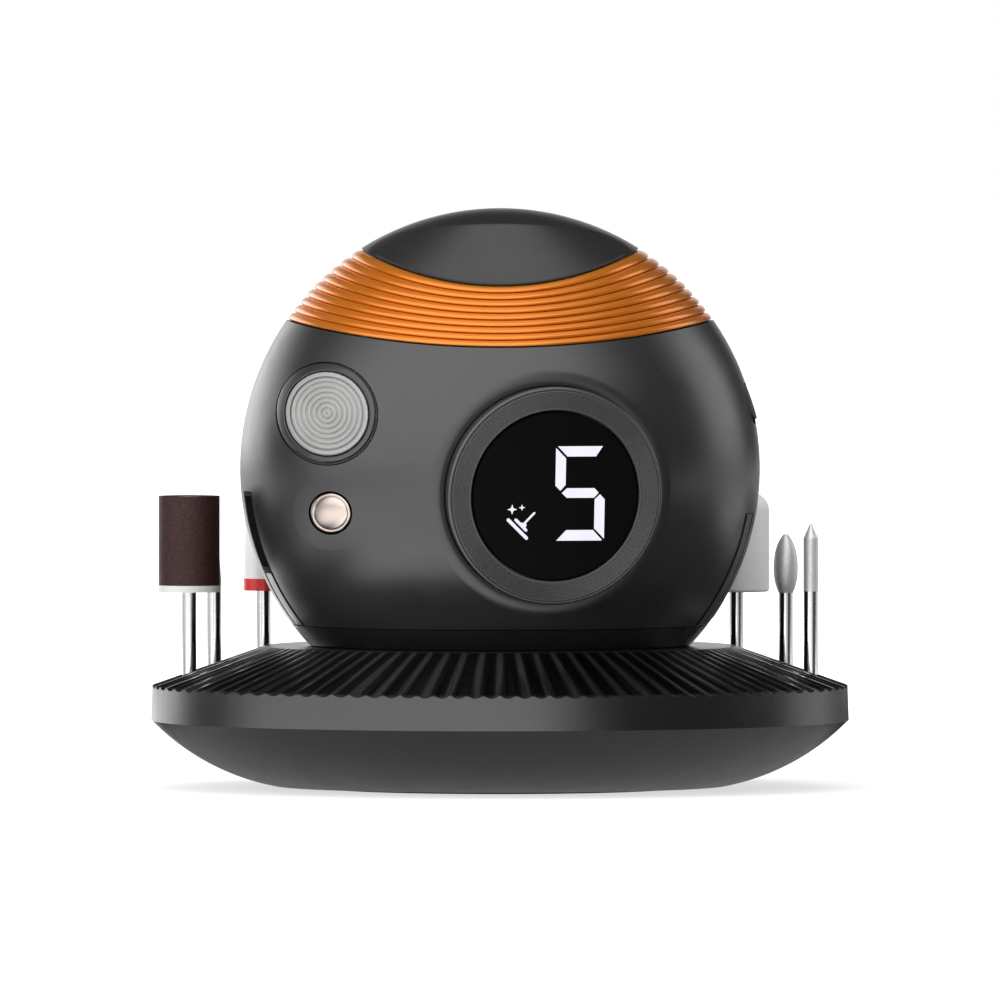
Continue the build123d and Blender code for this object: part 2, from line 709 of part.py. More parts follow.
# Frame screws: three up into the cap's bosses and four down into the ledge
with BuildPart() as frame_screws:
    with BuildSketch(seat_plane.offset(-0.9)):
        with PolarLocations(cap_boss_circle, 3, start_angle=90):
            Circle(1.6)
    extrude(amount=0.9)
    with BuildSketch(seat_plane):
        with PolarLocations(cap_boss_circle, 3, start_angle=90):
            Circle(screw_radius)
    extrude(amount=frame_thickness + 5)
    with BuildSketch(seat_plane.offset(frame_thickness)):
        with PolarLocations(frame_screw_circle, 4, start_angle=45):
            Circle(1.3)
    extrude(amount=0.7)
    with BuildSketch(seat_plane.offset(-ledge_height)):
        with PolarLocations(frame_screw_circle, 4, start_angle=45):
            Circle(screw_radius)
    extrude(amount=ledge_height + frame_thickness)
frame_screws.part.label = "frame_screws"
export_step(frame_screws.part, "parts/frame_screws.step")

# Dial ring: a turned knob that runs on the carrier's tube; its lip is held under the glass
lip_top = glass_bottom - 0.3
dial_bore = carrier_radius + running_clearance
dial_skirt = dial_radius - 1.15
dial_web = dial_bottom + 1.6
with BuildPart() as dial_ring:
    with BuildSketch(dial_section):
        Polygon(
            (dial_bore, -dial_web),
            (dial_bore, -lip_top),
            (glass_radius + 0.15, -lip_top),
            (glass_radius + 0.15, -dial_face + 0.4),
            (glass_radius + 0.55, -dial_face),
            (dial_radius - dial_lip, -dial_face),
            (dial_radius, -dial_face + dial_lip),
            (dial_radius, -dial_bottom - 1.0),
            (dial_radius + dial_flange, -dial_bottom - 1.0),
            (dial_radius + dial_flange, -dial_bottom),
            (dial_skirt, -dial_bottom),
            (dial_skirt, -dial_web),
            align=None,
        )
    revolve(axis=dial_axis)
dial_ring.part.label = "dial_ring"
export_step(dial_ring.part, "parts/dial_ring.step")

# Dial magnet: the ring that the encoder reads, glued under the dial
magnet_height = 0.9
with BuildPart() as dial_magnet:
    with BuildSketch(dial_plane.offset(dial_web - magnet_height)):
        Circle(dial_skirt - seat_gap)
        Circle(dial_skirt - 2.2, mode=Mode.SUBTRACT)
    extrude(amount=magnet_height)
dial_magnet.part.label = "dial_magnet"
export_step(dial_magnet.part, "parts/dial_magnet.step")

# Dial carrier: the fixed tube that the dial turns on, with a flange screwed to the front shell
with BuildPart() as dial_carrier:
    with BuildSketch(dial_plane.offset(carrier_seat - carrier_flange)):
        Circle(collar_outer)
        with PolarLocations(dial_screw_circle, 3, start_angle=90):
            Circle(screw_radius + 0.2, mode=Mode.SUBTRACT)
    extrude(amount=carrier_flange)
    with BuildSketch(dial_plane.offset(carrier_seat)):
        Circle(carrier_radius)
    extrude(amount=glass_bottom - carrier_seat)
    with BuildSketch(dial_plane.offset(glass_bottom - 4)):
        Circle(carrier_radius - carrier_wall)
    extrude(amount=4, mode=Mode.SUBTRACT)
    with BuildSketch(dial_plane.offset(carrier_seat - carrier_flange)):
        Circle(carrier_radius - carrier_wall - 1.5)
    extrude(amount=glass_bottom - carrier_seat, mode=Mode.SUBTRACT)
dial_carrier.part.label = "dial_carrier"
export_step(dial_carrier.part, "parts/dial_carrier.step")

# Dial screws: three, from behind, through the carrier's flange into the shell's collar
with BuildPart() as dial_screws:
    with BuildSketch(dial_plane.offset(carrier_seat - carrier_flange - 0.9)):
        with PolarLocations(dial_screw_circle, 3, start_angle=90):
            Circle(1.0 + screw_radius * 0.7)
    extrude(amount=0.9)
    with BuildSketch(dial_plane.offset(carrier_seat - carrier_flange)):
        with PolarLocations(dial_screw_circle, 3, start_angle=90):
            Circle(screw_radius - screw_clearance)
    extrude(amount=carrier_flange + 2.5)
dial_screws.part.label = "dial_screws"
export_step(dial_screws.part, "parts/dial_screws.step")

# Encoder board: a thin ring-shaped board on the carrier's flange, under the magnet
with BuildPart() as encoder_board:
    with BuildSketch(dial_plane.offset(carrier_seat)):
        Circle(dial_skirt - 0.4)
        Circle(carrier_radius + 0.4, mode=Mode.SUBTRACT)
    extrude(amount=0.6)
encoder_board.part.label = "encoder_board"
export_step(encoder_board.part, "parts/encoder_board.step")

# Display glass: a black disc glued on the carrier's end
with BuildPart() as display_glass:
    with BuildSketch(dial_plane.offset(glass_bottom)):
        Circle(glass_radius)
    extrude(amount=glass_thickness)
    chamfer(display_glass.faces().sort_by(Axis((0, 0, 0), dial_normal))[-1].edges(), 0.2)
display_glass.part.label = "display_glass"
export_step(display_glass.part, "parts/display_glass.step")

# Display module: the lit digit's block, in the carrier's tube behind the glass
with BuildPart() as display_module:
    with BuildSketch(dial_plane.offset(glass_bottom - 4)):
        Circle(carrier_radius - carrier_wall - seat_gap)
    extrude(amount=3.9)
display_module.part.label = "display_module"
export_step(display_module.part, "parts/display_module.step")

# Lamp bezel: a plug in the shell's lamp hole, its face following the ball
with BuildPart() as lamp_bezel:
    with Locations(centre):
        Sphere(ball_radius + 0.15)
        Sphere(ball_radius - 3.5, mode=Mode.SUBTRACT)
    with BuildSketch(lamp_plane):
        Circle(lamp_radius)
        Circle(lens_radius + 0.15, mode=Mode.SUBTRACT)
    extrude(amount=2 * ball_radius, mode=Mode.INTERSECT)
lamp_bezel.part.label = "lamp_bezel"
export_step(lamp_bezel.part, "parts/lamp_bezel.step")

# Lamp lens: a frosted lens inside the bezel
lens_inner = ball_radius - 1.9
with BuildPart() as lamp_lens:
    with Locations(centre):
        Sphere(ball_radius - 0.1)
        Sphere(lens_inner, mode=Mode.SUBTRACT)
    with BuildSketch(lamp_plane):
        Circle(lens_radius)
    extrude(amount=2 * ball_radius, mode=Mode.INTERSECT)
lamp_lens.part.label = "lamp_lens"
export_step(lamp_lens.part, "parts/lamp_lens.step")

# Lamp reflector: a tube behind the lens, with a flange behind the bezel
lamp_left = abs(lamp_x) + lens_radius
lamp_back = sqrt(inner_radius**2 - lamp_left**2 - lamp_z**2) - 1.5
with BuildPart() as reflector_flange:
    with Locations(centre):
        Sphere(ball_radius - 3.6)
        Sphere(ball_radius - 4.8, mode=Mode.SUBTRACT)
    with BuildSketch(lamp_plane.offset(lamp_back)):
        Circle(lamp_radius + 0.6)
    extrude(amount=2 * ball_radius, mode=Mode.INTERSECT)

with BuildPart() as lamp_reflector:
    with BuildSketch(lamp_plane.offset(lamp_back)):
        Circle(lens_radius)
    extrude(amount=2 * ball_radius)
    with Locations(centre):
        Sphere(lens_inner - seat_gap, mode=Mode.INTERSECT)
    add(reflector_flange.part)
    with BuildSketch(lamp_plane.offset(lamp_back)):
        Circle(lens_radius - 0.8)
    extrude(amount=2 * ball_radius, mode=Mode.SUBTRACT)
lamp_reflector.part.label = "lamp_reflector"
export_step(lamp_reflector.part, "parts/lamp_reflector.step")

# Lamp board: a round board with one light source, on the reflector's rear end
with BuildPart() as lamp_board:
    with BuildSketch(lamp_plane.offset(lamp_back)):
        Circle(lens_radius)
    extrude(amount=-1.2)
    with BuildSketch(lamp_plane.offset(lamp_back)):
        Rectangle(3.4, 3.4)
    extrude(amount=0.8)
lamp_board.part.label = "lamp_board"
export_step(lamp_board.part, "parts/lamp_board.step")

# Power button: a plunger with a domed metal face, held behind the shell by its flange
with BuildPart() as power_button:
    with BuildSketch(button_plane.offset(flange_front)):
        Circle(button_radius)
    extrude(amount=ball_radius)
    with Locations(centre):
        Sphere(ball_radius + 0.35, mode=Mode.INTERSECT)
    with BuildSketch(button_plane.offset(flange_front - button_flange)):
        Circle(button_radius + 1.1)
    extrude(amount=button_flange)
    with BuildSketch(button_plane.offset(flange_front - button_flange - 0.9)):
        Circle(1.2)
    extrude(amount=0.9)
power_button.part.label = "power_button"
export_step(power_button.part, "parts/power_button.step")

# Power switch: a round board with a push switch, closing the button's guide from behind
with BuildPart() as power_switch:
    with BuildSketch(button_plane.offset(guide_back)):
        Circle(guide_outer)
    extrude(amount=-1.2)
    with BuildSketch(button_plane.offset(guide_back)):
        Rectangle(5.8, 5.8)
    extrude(amount=switch_face - guide_back)
power_switch.part.label = "power_switch"
export_step(power_switch.part, "parts/power_switch.step")


# The inside of the shell, where the flanges of the trim pieces lie
flange_layer = Pos(*centre) * (Sphere(inner_radius - seat_gap) - Sphere(inner_radius - 1.2))

# Side strips: satin trim let into the shell's side, each with a flange behind it
left_strip_box = strip_box(neck_low + shell_gap, slot_bottom - 0.1, -1, -0.15)
right_strip_box = strip_box(neck_low + shell_gap, right_strip_top, 1, -0.15)
below_seam = Pos(*(centre + Vector(0, 0, neck_low - 50 + 0.6))) * Box(200, 200, 100)

with BuildPart() as left_strip:
    with Locations(centre):
        Sphere(ball_radius - 0.05)
        Sphere(inner_radius - 1.0, mode=Mode.SUBTRACT)
    add(left_strip_box, mode=Mode.INTERSECT)
left_strip.part.label = "left_strip"
export_step(left_strip.part, "parts/left_strip.step")

right_flange_box = strip_box(neck_low + shell_gap, right_strip_top, 1, trim_flange)
right_flange = (flange_layer & right_flange_box) - right_strip_box - below_seam
with BuildPart() as right_strip:
    with Locations(centre):
        Sphere(ball_radius - 0.05)
        Sphere(inner_radius - 1.2, mode=Mode.SUBTRACT)
    add(right_strip_box, mode=Mode.INTERSECT)
    add(right_flange)
right_strip.part.label = "right_strip"
export_step(right_strip.part, "parts/right_strip.step")

# Slot liner: a black pocket in the left side, with the handpiece socket in its floor
slot_box = strip_box(slot_bottom + 0.1, slot_top, -1, -0.15)
slot_hollow = strip_box(slot_bottom + 0.1, slot_top, -1, -0.15 - liner_wall)
slot_flange_box = strip_box(slot_bottom + 0.1, slot_top, -1, trim_flange)
slot_middle = (slot_top + slot_bottom) / 2
strip_middle = (strip_front + strip_back) / 2
slot_surface = sqrt(ball_radius**2 - strip_middle**2 - slot_middle**2)
slot_floor = slot_surface - slot_depth
liner_back = slot_floor - 1.2
jack_plane = Plane(
    origin=centre + Vector(0, strip_middle, slot_middle), x_dir=(0, -1, 0), z_dir=(-1, 0, 0)
)
jack_nose = jack_radius + 0.8
floor_cut = Pos(*(centre + Vector(-slot_floor + 50, 0, 0))) * Box(100, 200, 200)
liner_cut = Pos(*(centre + Vector(-liner_back + 50, 0, 0))) * Box(100, 200, 200)

slot_flange = (flange_layer & slot_flange_box) - slot_box - left_strip_box
slot_outside = slot_box - liner_cut
slot_inside = slot_hollow - floor_cut

with BuildPart() as slot_liner:
    with Locations(centre):
        Sphere(ball_radius - 0.05)
    add(slot_outside, mode=Mode.INTERSECT)
    add(slot_inside, mode=Mode.SUBTRACT)
    add(slot_flange)
    with BuildSketch(jack_plane):
        Circle(jack_nose + running_clearance)
    extrude(amount=ball_radius, mode=Mode.SUBTRACT)
slot_liner.part.label = "slot_liner"
export_step(slot_liner.part, "parts/slot_liner.step")

# Handpiece socket: a round jack whose bore opens into the slot
with BuildPart() as handpiece_socket:
    with BuildSketch(jack_plane.offset(slot_floor - jack_length - 1.5)):
        Circle(jack_nose + 0.9)
    extrude(amount=liner_back - slot_floor + jack_length + 1.5)
    with BuildSketch(jack_plane.offset(liner_back)):
        Circle(jack_nose)
    extrude(amount=slot_floor - liner_back)
    with BuildSketch(jack_plane.offset(slot_floor)):
        Circle(jack_radius)
    extrude(amount=-jack_length, mode=Mode.SUBTRACT)
handpiece_socket.part.label = "handpiece_socket"
export_step(handpiece_socket.part, "parts/handpiece_socket.step")

# Side key: a rocker on a pin, resting with its lower end out
key_pivot = key_plane.offset(pivot).location
key_turn = key_pivot * Rot(-key_tilt, 0, 0) * key_pivot.inverse()
with BuildPart() as level_key:
    with BuildSketch(key_plane.offset(pivot - 1.2)):
        RectangleRounded(key_length, key_height, 1.5)
    extrude(amount=10)
    with Locations(centre):
        Sphere(ball_radius + key_proud, mode=Mode.INTERSECT)
    with BuildSketch(Plane(origin=key_plane.origin + key_plane.z_dir * pivot, z_dir=key_plane.x_dir)):
        Circle(pin_radius + running_clearance)
    extrude(amount=key_length, both=True, mode=Mode.SUBTRACT)

with BuildPart() as side_key:
    add(key_turn * level_key.part)
side_key.part.label = "side_key"
export_step(side_key.part, "parts/side_key.step")

# Rocker frame: the cup behind the shell that carries the key's pin
with BuildPart() as rocker_frame:
    with BuildSketch(key_plane.offset(frame_base)):
        Rectangle(key_length + 7.6, key_height + 2.7)
    extrude(amount=8)
    with Locations(centre):
        Sphere(inner_radius - seat_gap, mode=Mode.INTERSECT)
    with BuildSketch(key_plane.offset(frame_floor)):
        Rectangle(key_length + 0.6, key_height + 2 * key_gap)
    extrude(amount=8, mode=Mode.SUBTRACT)
    with BuildSketch(Plane(origin=key_plane.origin + key_plane.z_dir * pivot, z_dir=key_plane.x_dir)):
        Circle(pin_radius + 0.02)
    extrude(amount=key_length, both=True, mode=Mode.SUBTRACT)
rocker_frame.part.label = "rocker_frame"
export_step(rocker_frame.part, "parts/rocker_frame.step")

# Rocker pin
pin_length = key_length + 6.0
with BuildPart() as rocker_pin:
    with BuildSketch(Plane(origin=key_plane.origin + key_plane.z_dir * pivot, z_dir=key_plane.x_dir)):
        Circle(pin_radius)
    extrude(amount=pin_length / 2, both=True)
rocker_pin.part.label = "rocker_pin"
export_step(rocker_pin.part, "parts/rocker_pin.step")

# Direction switch: a small block behind the rocker's frame
with BuildPart() as direction_switch:
    with BuildSketch(key_plane.offset(frame_base)):
        Rectangle(7.0, 5.0)
    extrude(amount=-2.6)
direction_switch.part.label = "direction_switch"
export_step(direction_switch.part, "parts/direction_switch.step")

# Main board: on the bottom plate's posts
with BuildPart() as main_board:
    with BuildSketch(Plane.XY.offset(board_bottom)):
        with Locations((0, -2)):
            RectangleRounded(36, 36, 2)
    extrude(amount=board_thickness)
    with BuildSketch(Plane.XY.offset(board_bottom + board_thickness)):
        with Locations((-6, -8)):
            Rectangle(9, 9)
        with Locations((8, -12)):
            Rectangle(6, 5)
    extrude(amount=1.2)
main_board.part.label = "main_board"
export_step(main_board.part, "parts/main_board.step")

# Battery: two cells across the ball, one above the other, in a holder on the bottom plate
cell_gap = 0.2
cell_y = 13.0
lower_cell = board_bottom + board_thickness + 0.6 + cell_radius
upper_cell = lower_cell + 2 * cell_radius + cell_gap
with BuildPart() as battery_cells:
    with BuildSketch(Plane.YZ.offset(-cell_length / 2)):
        with Locations((cell_y, lower_cell), (cell_y, upper_cell)):
            Circle(cell_radius)
    extrude(amount=cell_length)
    with BuildSketch(Plane.YZ.offset(cell_length / 2)):
        with Locations((cell_y, lower_cell), (cell_y, upper_cell)):
            Circle(cell_radius / 3)
    extrude(amount=0.8)
battery_cells.part.label = "battery_cells"
export_step(battery_cells.part, "parts/battery_cells.step")

holder_y = cell_y + cell_radius + 0.2
holder_wall = 1.5
with BuildPart() as battery_holder:
    with BuildSketch(Plane.XZ.offset(-holder_y)):
        with Locations((0, (lower_cell + upper_cell) / 2)):
            Rectangle(cell_length * 0.8, 3.4 * cell_radius)
    extrude(amount=-holder_wall)
    with BuildSketch(Plane.XY.offset(plate_top)):
        with Locations((-9, holder_y + holder_wall / 2), (9, holder_y + holder_wall / 2)):
            Rectangle(6, holder_wall)
    extrude(amount=lower_cell - plate_top)
battery_holder.part.label = "battery_holder"
export_step(battery_holder.part, "parts/battery_holder.step")

# Charge board and port: a small board on two pads, with the port's metal shell on it
with BuildPart() as charge_board:
    with BuildSketch(plate_to_board.offset(port_board_bottom - plate_top)):
        Rectangle(port_board_reach[1] - port_board_reach[0], 9.4)
    extrude(amount=0.8)
charge_board.part.label = "charge_board"
export_step(charge_board.part, "parts/charge_board.step")

port_corner = ball_radius - flap_recess - 0.3
port_drop = port_centre - port_height / 2 - ball_height
port_mouth = sqrt(port_corner**2 - port_drop**2 - (port_width / 2) ** 2)
with BuildPart() as usb_port:
    with BuildSketch(port_plane.offset(port_mouth - port_length)):
        with Locations((0, (flap_top + flap_bottom) / 2)):
            RectangleRounded(port_width, port_height, port_height / 2 - 0.05)
    extrude(amount=port_length)
    with BuildSketch(port_plane.offset(port_mouth - port_length + 1)):
        with Locations((0, (flap_top + flap_bottom) / 2)):
            RectangleRounded(port_width - 0.6, port_height - 0.6, port_height / 2 - 0.35)
            Rectangle(port_width - 2.3, 0.7, mode=Mode.SUBTRACT)
    extrude(amount=port_length, mode=Mode.SUBTRACT)
usb_port.part.label = "usb_port"
export_step(usb_port.part, "parts/usb_port.step")

# Port flap: a rubber cover let into the shell, with a strap on the surface above it
strap_height = 1.6
with BuildPart() as flap_strap:
    with Locations(centre):
        Sphere(ball_radius + flap_proud)
        Sphere(ball_radius + 0.03, mode=Mode.SUBTRACT)
    with BuildSketch(port_plane):
        with Locations((0, flap_top + strap_height / 2 - 0.2)):
            Rectangle(flap_width * 0.6, strap_height)
    extrude(amount=2 * ball_radius, mode=Mode.INTERSECT)

with BuildPart() as port_flap:
    with Locations(centre):
        Sphere(ball_radius + flap_proud)
        Sphere(ball_radius - flap_recess + 0.15, mode=Mode.SUBTRACT)
    with BuildSketch(port_plane):
        with Locations((0, (flap_top + flap_bottom) / 2)):
            RectangleRounded(flap_width, flap_top - flap_bottom, 0.9)
    extrude(amount=2 * ball_radius, mode=Mode.INTERSECT)
    add(flap_strap.part)
port_flap.part.label = "port_flap"
export_step(port_flap.part, "parts/port_flap.step")

# Bits: each stands on the floor of its socket
left_bits = bit_spots[:3]
right_bits = bit_spots[3:]
drum_radius = 5.05
drum_bottom = 32.5
drum_top = 48.4
drum_lip = 1.1
sleeve_wall = 0.7
cone_low = 33.0
cone_high = 43.0
collar_low = 31.8
collar_high = 33.8
ceramic_radius = 3.3
ceramic_top = 46.3
needle_radius = 1.22
needle_low = 32.6
needle_shoulder = 41.4
needle_tip = 43.8
flame_radius = 2.0
flame_low = 31.8
flame_wide = 36.4
flame_top = 41.5
felt_radius = 5.45
felt_low = 31.6
felt_top = 48.1

# Shanks: ground steel bars of the standard size, from the socket's floor up to the head
shanks = {
    "drum_shank": (left_bits[0], drum_top - 1.0),
    "cone_shank": (left_bits[1], cone_low),
    "ceramic_shank": (left_bits[2], collar_low),
    "needle_shank": (right_bits[0], needle_low),
    "flame_shank": (right_bits[1], flame_low),
    "felt_shank": (right_bits[2], felt_low),
}
for name, (spot, top) in shanks.items():
    with BuildPart() as bit_shank:
        with BuildSketch(Plane.XY.offset(socket_floor)):
            with Locations(spot):
                Circle(shank_radius)
        extrude(amount=top - socket_floor)
    bit_shank.part.label = name
    export_step(bit_shank.part, f"parts/{name}.step")

# Sanding drum: a core with a bottom lip, and the abrasive sleeve pushed over it
with BuildPart() as drum_core:
    with BuildSketch(Plane.XY.offset(drum_bottom)):
        with Locations(left_bits[0]):
            Circle(drum_radius)
    extrude(amount=drum_lip)
    with BuildSketch(Plane.XY.offset(drum_bottom + drum_lip)):
        with Locations(left_bits[0]):
            Circle(drum_radius - sleeve_wall)
    extrude(amount=drum_top - drum_bottom - drum_lip - 0.2)
    with BuildSketch(Plane.XY.offset(drum_bottom)):
        with Locations(left_bits[0]):
            Circle(shank_radius)
    extrude(amount=drum_top - 1.0 - drum_bottom, mode=Mode.SUBTRACT)
drum_core.part.label = "drum_core"
export_step(drum_core.part, "parts/drum_core.step")

with BuildPart() as sanding_sleeve:
    with BuildSketch(Plane.XY.offset(drum_bottom + drum_lip)):
        with Locations(left_bits[0]):
            Circle(drum_radius)
            Circle(drum_radius - sleeve_wall, mode=Mode.SUBTRACT)
    extrude(amount=drum_top - drum_bottom - drum_lip)
sanding_sleeve.part.label = "sanding_sleeve"
export_step(sanding_sleeve.part, "parts/sanding_sleeve.step")


def bit_plane(spot):
    # An upright plane through a bit's axis, for a turned head
    return Plane(origin=(spot[0], spot[1], 0), x_dir=(1, 0, 0), z_dir=(0, -1, 0))


# Slim cone bit
with BuildPart() as cone_head:
    with BuildSketch(bit_plane(left_bits[1])):
        Polygon(
            (0, cone_low),
            (shank_radius, cone_low),
            (shank_radius, cone_low + 1),
            (0.5, cone_high),
            (0, cone_high),
            align=None,
        )
    revolve(axis=Axis((*left_bits[1], 0), (0, 0, 1)))
cone_head.part.label = "cone_head"
export_step(cone_head.part, "parts/cone_head.step")

# Ceramic bit: a collar and a slightly tapered head
with BuildPart() as ceramic_collar:
    with BuildSketch(Plane.XY.offset(collar_low)):
        with Locations(left_bits[2]):
            Circle(ceramic_radius)
    extrude(amount=collar_high - collar_low)
ceramic_collar.part.label = "ceramic_collar"
export_step(ceramic_collar.part, "parts/ceramic_collar.step")

with BuildPart() as ceramic_head:
    with BuildSketch(Plane.XY.offset(collar_high)):
        with Locations(left_bits[2]):
            Circle(ceramic_radius)
    extrude(amount=ceramic_top - collar_high, taper=0.9)
    fillet(ceramic_head.edges().group_by(Axis.Z)[-1], 1.2)
ceramic_head.part.label = "ceramic_head"
export_step(ceramic_head.part, "parts/ceramic_head.step")

# Needle bit
with BuildPart() as needle_head:
    with BuildSketch(bit_plane(right_bits[0])):
        Polygon(
            (0, needle_low),
            (needle_radius, needle_low),
            (needle_radius, needle_shoulder),
            (0.15, needle_tip),
            (0, needle_tip),
            align=None,
        )
    revolve(axis=Axis((*right_bits[0], 0), (0, 0, 1)))
needle_head.part.label = "needle_head"
export_step(needle_head.part, "parts/needle_head.step")

# Flame bit
with BuildPart() as flame_head:
    with BuildSketch(bit_plane(right_bits[1])):
        with BuildLine():
            Line((0, flame_low), (shank_radius, flame_low))
            Spline(
                (shank_radius, flame_low),
                (flame_radius, flame_wide),
                (0.35, flame_top),
                tangents=((0.5, 1), (-0.9, 1)),
            )
            Line((0.35, flame_top), (0, flame_top))
            Line((0, flame_top), (0, flame_low))
        make_face()
    revolve(axis=Axis((*right_bits[1], 0), (0, 0, 1)))
flame_head.part.label = "flame_head"
export_step(flame_head.part, "parts/flame_head.step")

# Felt bit
with BuildPart() as felt_head:
    with BuildSketch(Plane.XY.offset(felt_low)):
        with Locations(right_bits[2]):
            Circle(felt_radius)
    extrude(amount=felt_top - felt_low)
    fillet(felt_head.edges().group_by(Axis.Z)[-1], 3.0)
    fillet(felt_head.edges().group_by(Axis.Z)[0], 0.5)
felt_head.part.label = "felt_head"
export_step(felt_head.part, "parts/felt_head.step")
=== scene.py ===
from math import asin, atan2, cos, pi, radians, sin, sqrt

import bmesh
import bpy
from mathutils import Matrix, Vector


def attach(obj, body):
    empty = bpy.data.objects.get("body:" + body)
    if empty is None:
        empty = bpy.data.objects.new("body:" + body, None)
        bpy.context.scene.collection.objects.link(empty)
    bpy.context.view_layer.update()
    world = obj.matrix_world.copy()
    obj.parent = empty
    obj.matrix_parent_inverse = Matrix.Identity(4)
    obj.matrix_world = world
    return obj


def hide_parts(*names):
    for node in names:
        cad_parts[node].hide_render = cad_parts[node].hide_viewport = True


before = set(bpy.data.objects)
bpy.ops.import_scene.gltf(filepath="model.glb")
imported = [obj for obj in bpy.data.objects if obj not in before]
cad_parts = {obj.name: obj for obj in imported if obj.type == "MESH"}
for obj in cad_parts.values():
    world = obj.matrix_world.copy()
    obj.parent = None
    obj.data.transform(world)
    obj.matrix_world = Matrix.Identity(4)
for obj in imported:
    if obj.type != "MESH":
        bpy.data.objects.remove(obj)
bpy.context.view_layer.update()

# Camera: six metres straight in front of the object and a touch above level, as in the photograph. Its
# very long lens keeps the ball's outline round.
look_at = Vector((0, 0, 0.0477))
camera_rise = radians(1.5)
camera_distance = 6
camera = bpy.data.objects.new("camera", bpy.data.cameras.new("camera"))
camera.data.lens = 1306
camera.data.sensor_width = 36
camera.data.clip_end = 50
camera.location = look_at + camera_distance * Vector((0, -cos(camera_rise), sin(camera_rise)))
camera.rotation_euler = (radians(90) - camera_rise, 0, 0)
bpy.context.scene.collection.objects.link(camera)
bpy.context.scene.camera = camera

# Studio: a white room for the camera, with soft panels that light the object. A wide one in front leans
# over it, a narrow one stands behind on each side, and the white backdrop and the ceiling glow too.
scene = bpy.context.scene
scene.view_settings.view_transform = "Standard"
white = (1, 1, 1, 1)
room_glow = 0.03
diffuse_fill = 0.30


def place_node(tree, kind, inputs=None, **settings):
    # Adds one node: an input given a socket is linked to it, and any other is set as a value
    made = tree.nodes.new(kind)
    for key, value in settings.items():
        setattr(made, key, value)
    for key, value in (inputs or {}).items():
        if isinstance(value, bpy.types.NodeSocket):
            tree.links.new(value, made.inputs[key])
        else:
            made.inputs[key].default_value = value
    return made


def calc(tree, operation, one, other=0.0):
    # One step of arithmetic
    return place_node(tree, "ShaderNodeMath", {0: one, 1: other}, operation=operation).outputs[0]


def remap(tree, value, low, high, start=0.0, end=1.0, ease="LINEAR"):
    # Carries a value from the range low to high over to the range start to end
    limits = {0: value, 1: low, 2: high, 3: start, 4: end}
    return place_node(tree, "ShaderNodeMapRange", limits, interpolation_type=ease).outputs[0]


def between(tree, value, low, high, soft):
    # 1 between two limits and 0 outside them, with soft edges
    rise = remap(tree, value, low - soft / 2, low + soft / 2, ease="SMOOTHSTEP")
    fall = remap(tree, value, high - soft / 2, high + soft / 2, 1.0, 0.0, ease="SMOOTHSTEP")
    return calc(tree, "MULTIPLY", rise, fall)


def mix_values(tree, share, one, other):
    # The first value where the share is 0, and the second where it is 1
    return place_node(tree, "ShaderNodeMix", {0: share, 2: one, 3: other}).outputs[0]


def bearing(tree, split):
    # The angle round the object in degrees: 0 in front, 90 to the right
    forward = calc(tree, "MULTIPLY", split.outputs["Y"], -1.0)
    return calc(tree, "MULTIPLY", calc(tree, "ARCTAN2", split.outputs["X"], forward), 180 / pi)


def seen_straight(tree, ray):
    # 1 for what the camera sees, also through glass
    return calc(tree, "MAXIMUM", ray.outputs["Is Camera Ray"], ray.outputs["Is Transmission Ray"])


world = bpy.data.worlds.new("studio")
scene.world = world
world.use_nodes = True
sky = world.node_tree
sky.nodes.clear()
ray = place_node(sky, "ShaderNodeLightPath")
toward = place_node(sky, "ShaderNodeTexCoord").outputs["Generated"]
split = place_node(sky, "ShaderNodeSeparateXYZ", {0: toward})
turn = bearing(sky, split)
away = calc(sky, "ABSOLUTE", turn)
height = calc(sky, "MULTIPLY", calc(sky, "ARCSINE", split.outputs["Z"]), 180 / pi)
panels = room_glow
# Each row: the angle it goes by, its two sides and their blur in degrees, its bottom and top and their
# blur, and its strength
for across, low, high, soft, bottom, top, fade, strength in (
    (turn, -94, 22, 26, -26, 30, 20, 2.0),  # front panel
    (turn, -94, 60, 60, 30, 78, 20, 2.0),  # its top, leaning over the object
    (turn, 109, 137, 6, 0, 36, 20, 1.5),  # narrow panel behind, right
    (turn, -166, -130, 10, -40, 16, 24, 2.4),  # narrow panel behind, left
    (away, 166, 220, 14, -90, 13, 14, 1.0),  # backdrop
    (away, 110, 220, 30, 62, 100, 14, 1.0),  # ceiling behind the object
):
    sideways = between(sky, across, low, high, soft)
    upright = between(sky, height, bottom, top, fade)
    glow = calc(sky, "MULTIPLY", sideways, upright)
    panels = calc(sky, "ADD", calc(sky, "MULTIPLY", glow, strength), panels)
fill = calc(sky, "MULTIPLY", ray.outputs["Is Diffuse Ray"], diffuse_fill)
room = mix_values(sky, seen_straight(sky, ray), calc(sky, "ADD", panels, fill), 1.0)
back = place_node(sky, "ShaderNodeBackground", {"Color": white, "Strength": room})
place_node(sky, "ShaderNodeOutputWorld", {"Surface": back.outputs[0]})

# Floor: a pale polished board. It fades to plain white away from the object and keeps the object's soft
# shadow. Glossy rays see a painted reflection on it instead: painted shade close round the base, and
# painted panels in the polish further out.
floor_reach = 4
floor_colour = (0.45, 0.45, 0.45, 1)
lift_near = 0.66
lift_start = 0.08
lift_end = 0.5
# Glow of the painted reflection where no panel is painted
painted_reflection_base = 0.06
floor_mesh = bpy.data.meshes.new("floor")
sketch = bmesh.new()
bmesh.ops.create_grid(sketch, x_segments=1, y_segments=1, size=floor_reach)
sketch.to_mesh(floor_mesh)
sketch.free()
floor = bpy.data.objects.new("floor", floor_mesh)
scene.collection.objects.link(floor)


def empty_material(name):
    # A new material with nothing in it yet
    made = bpy.data.materials.new(name)
    made.use_nodes = True
    made.node_tree.nodes.clear()
    return made


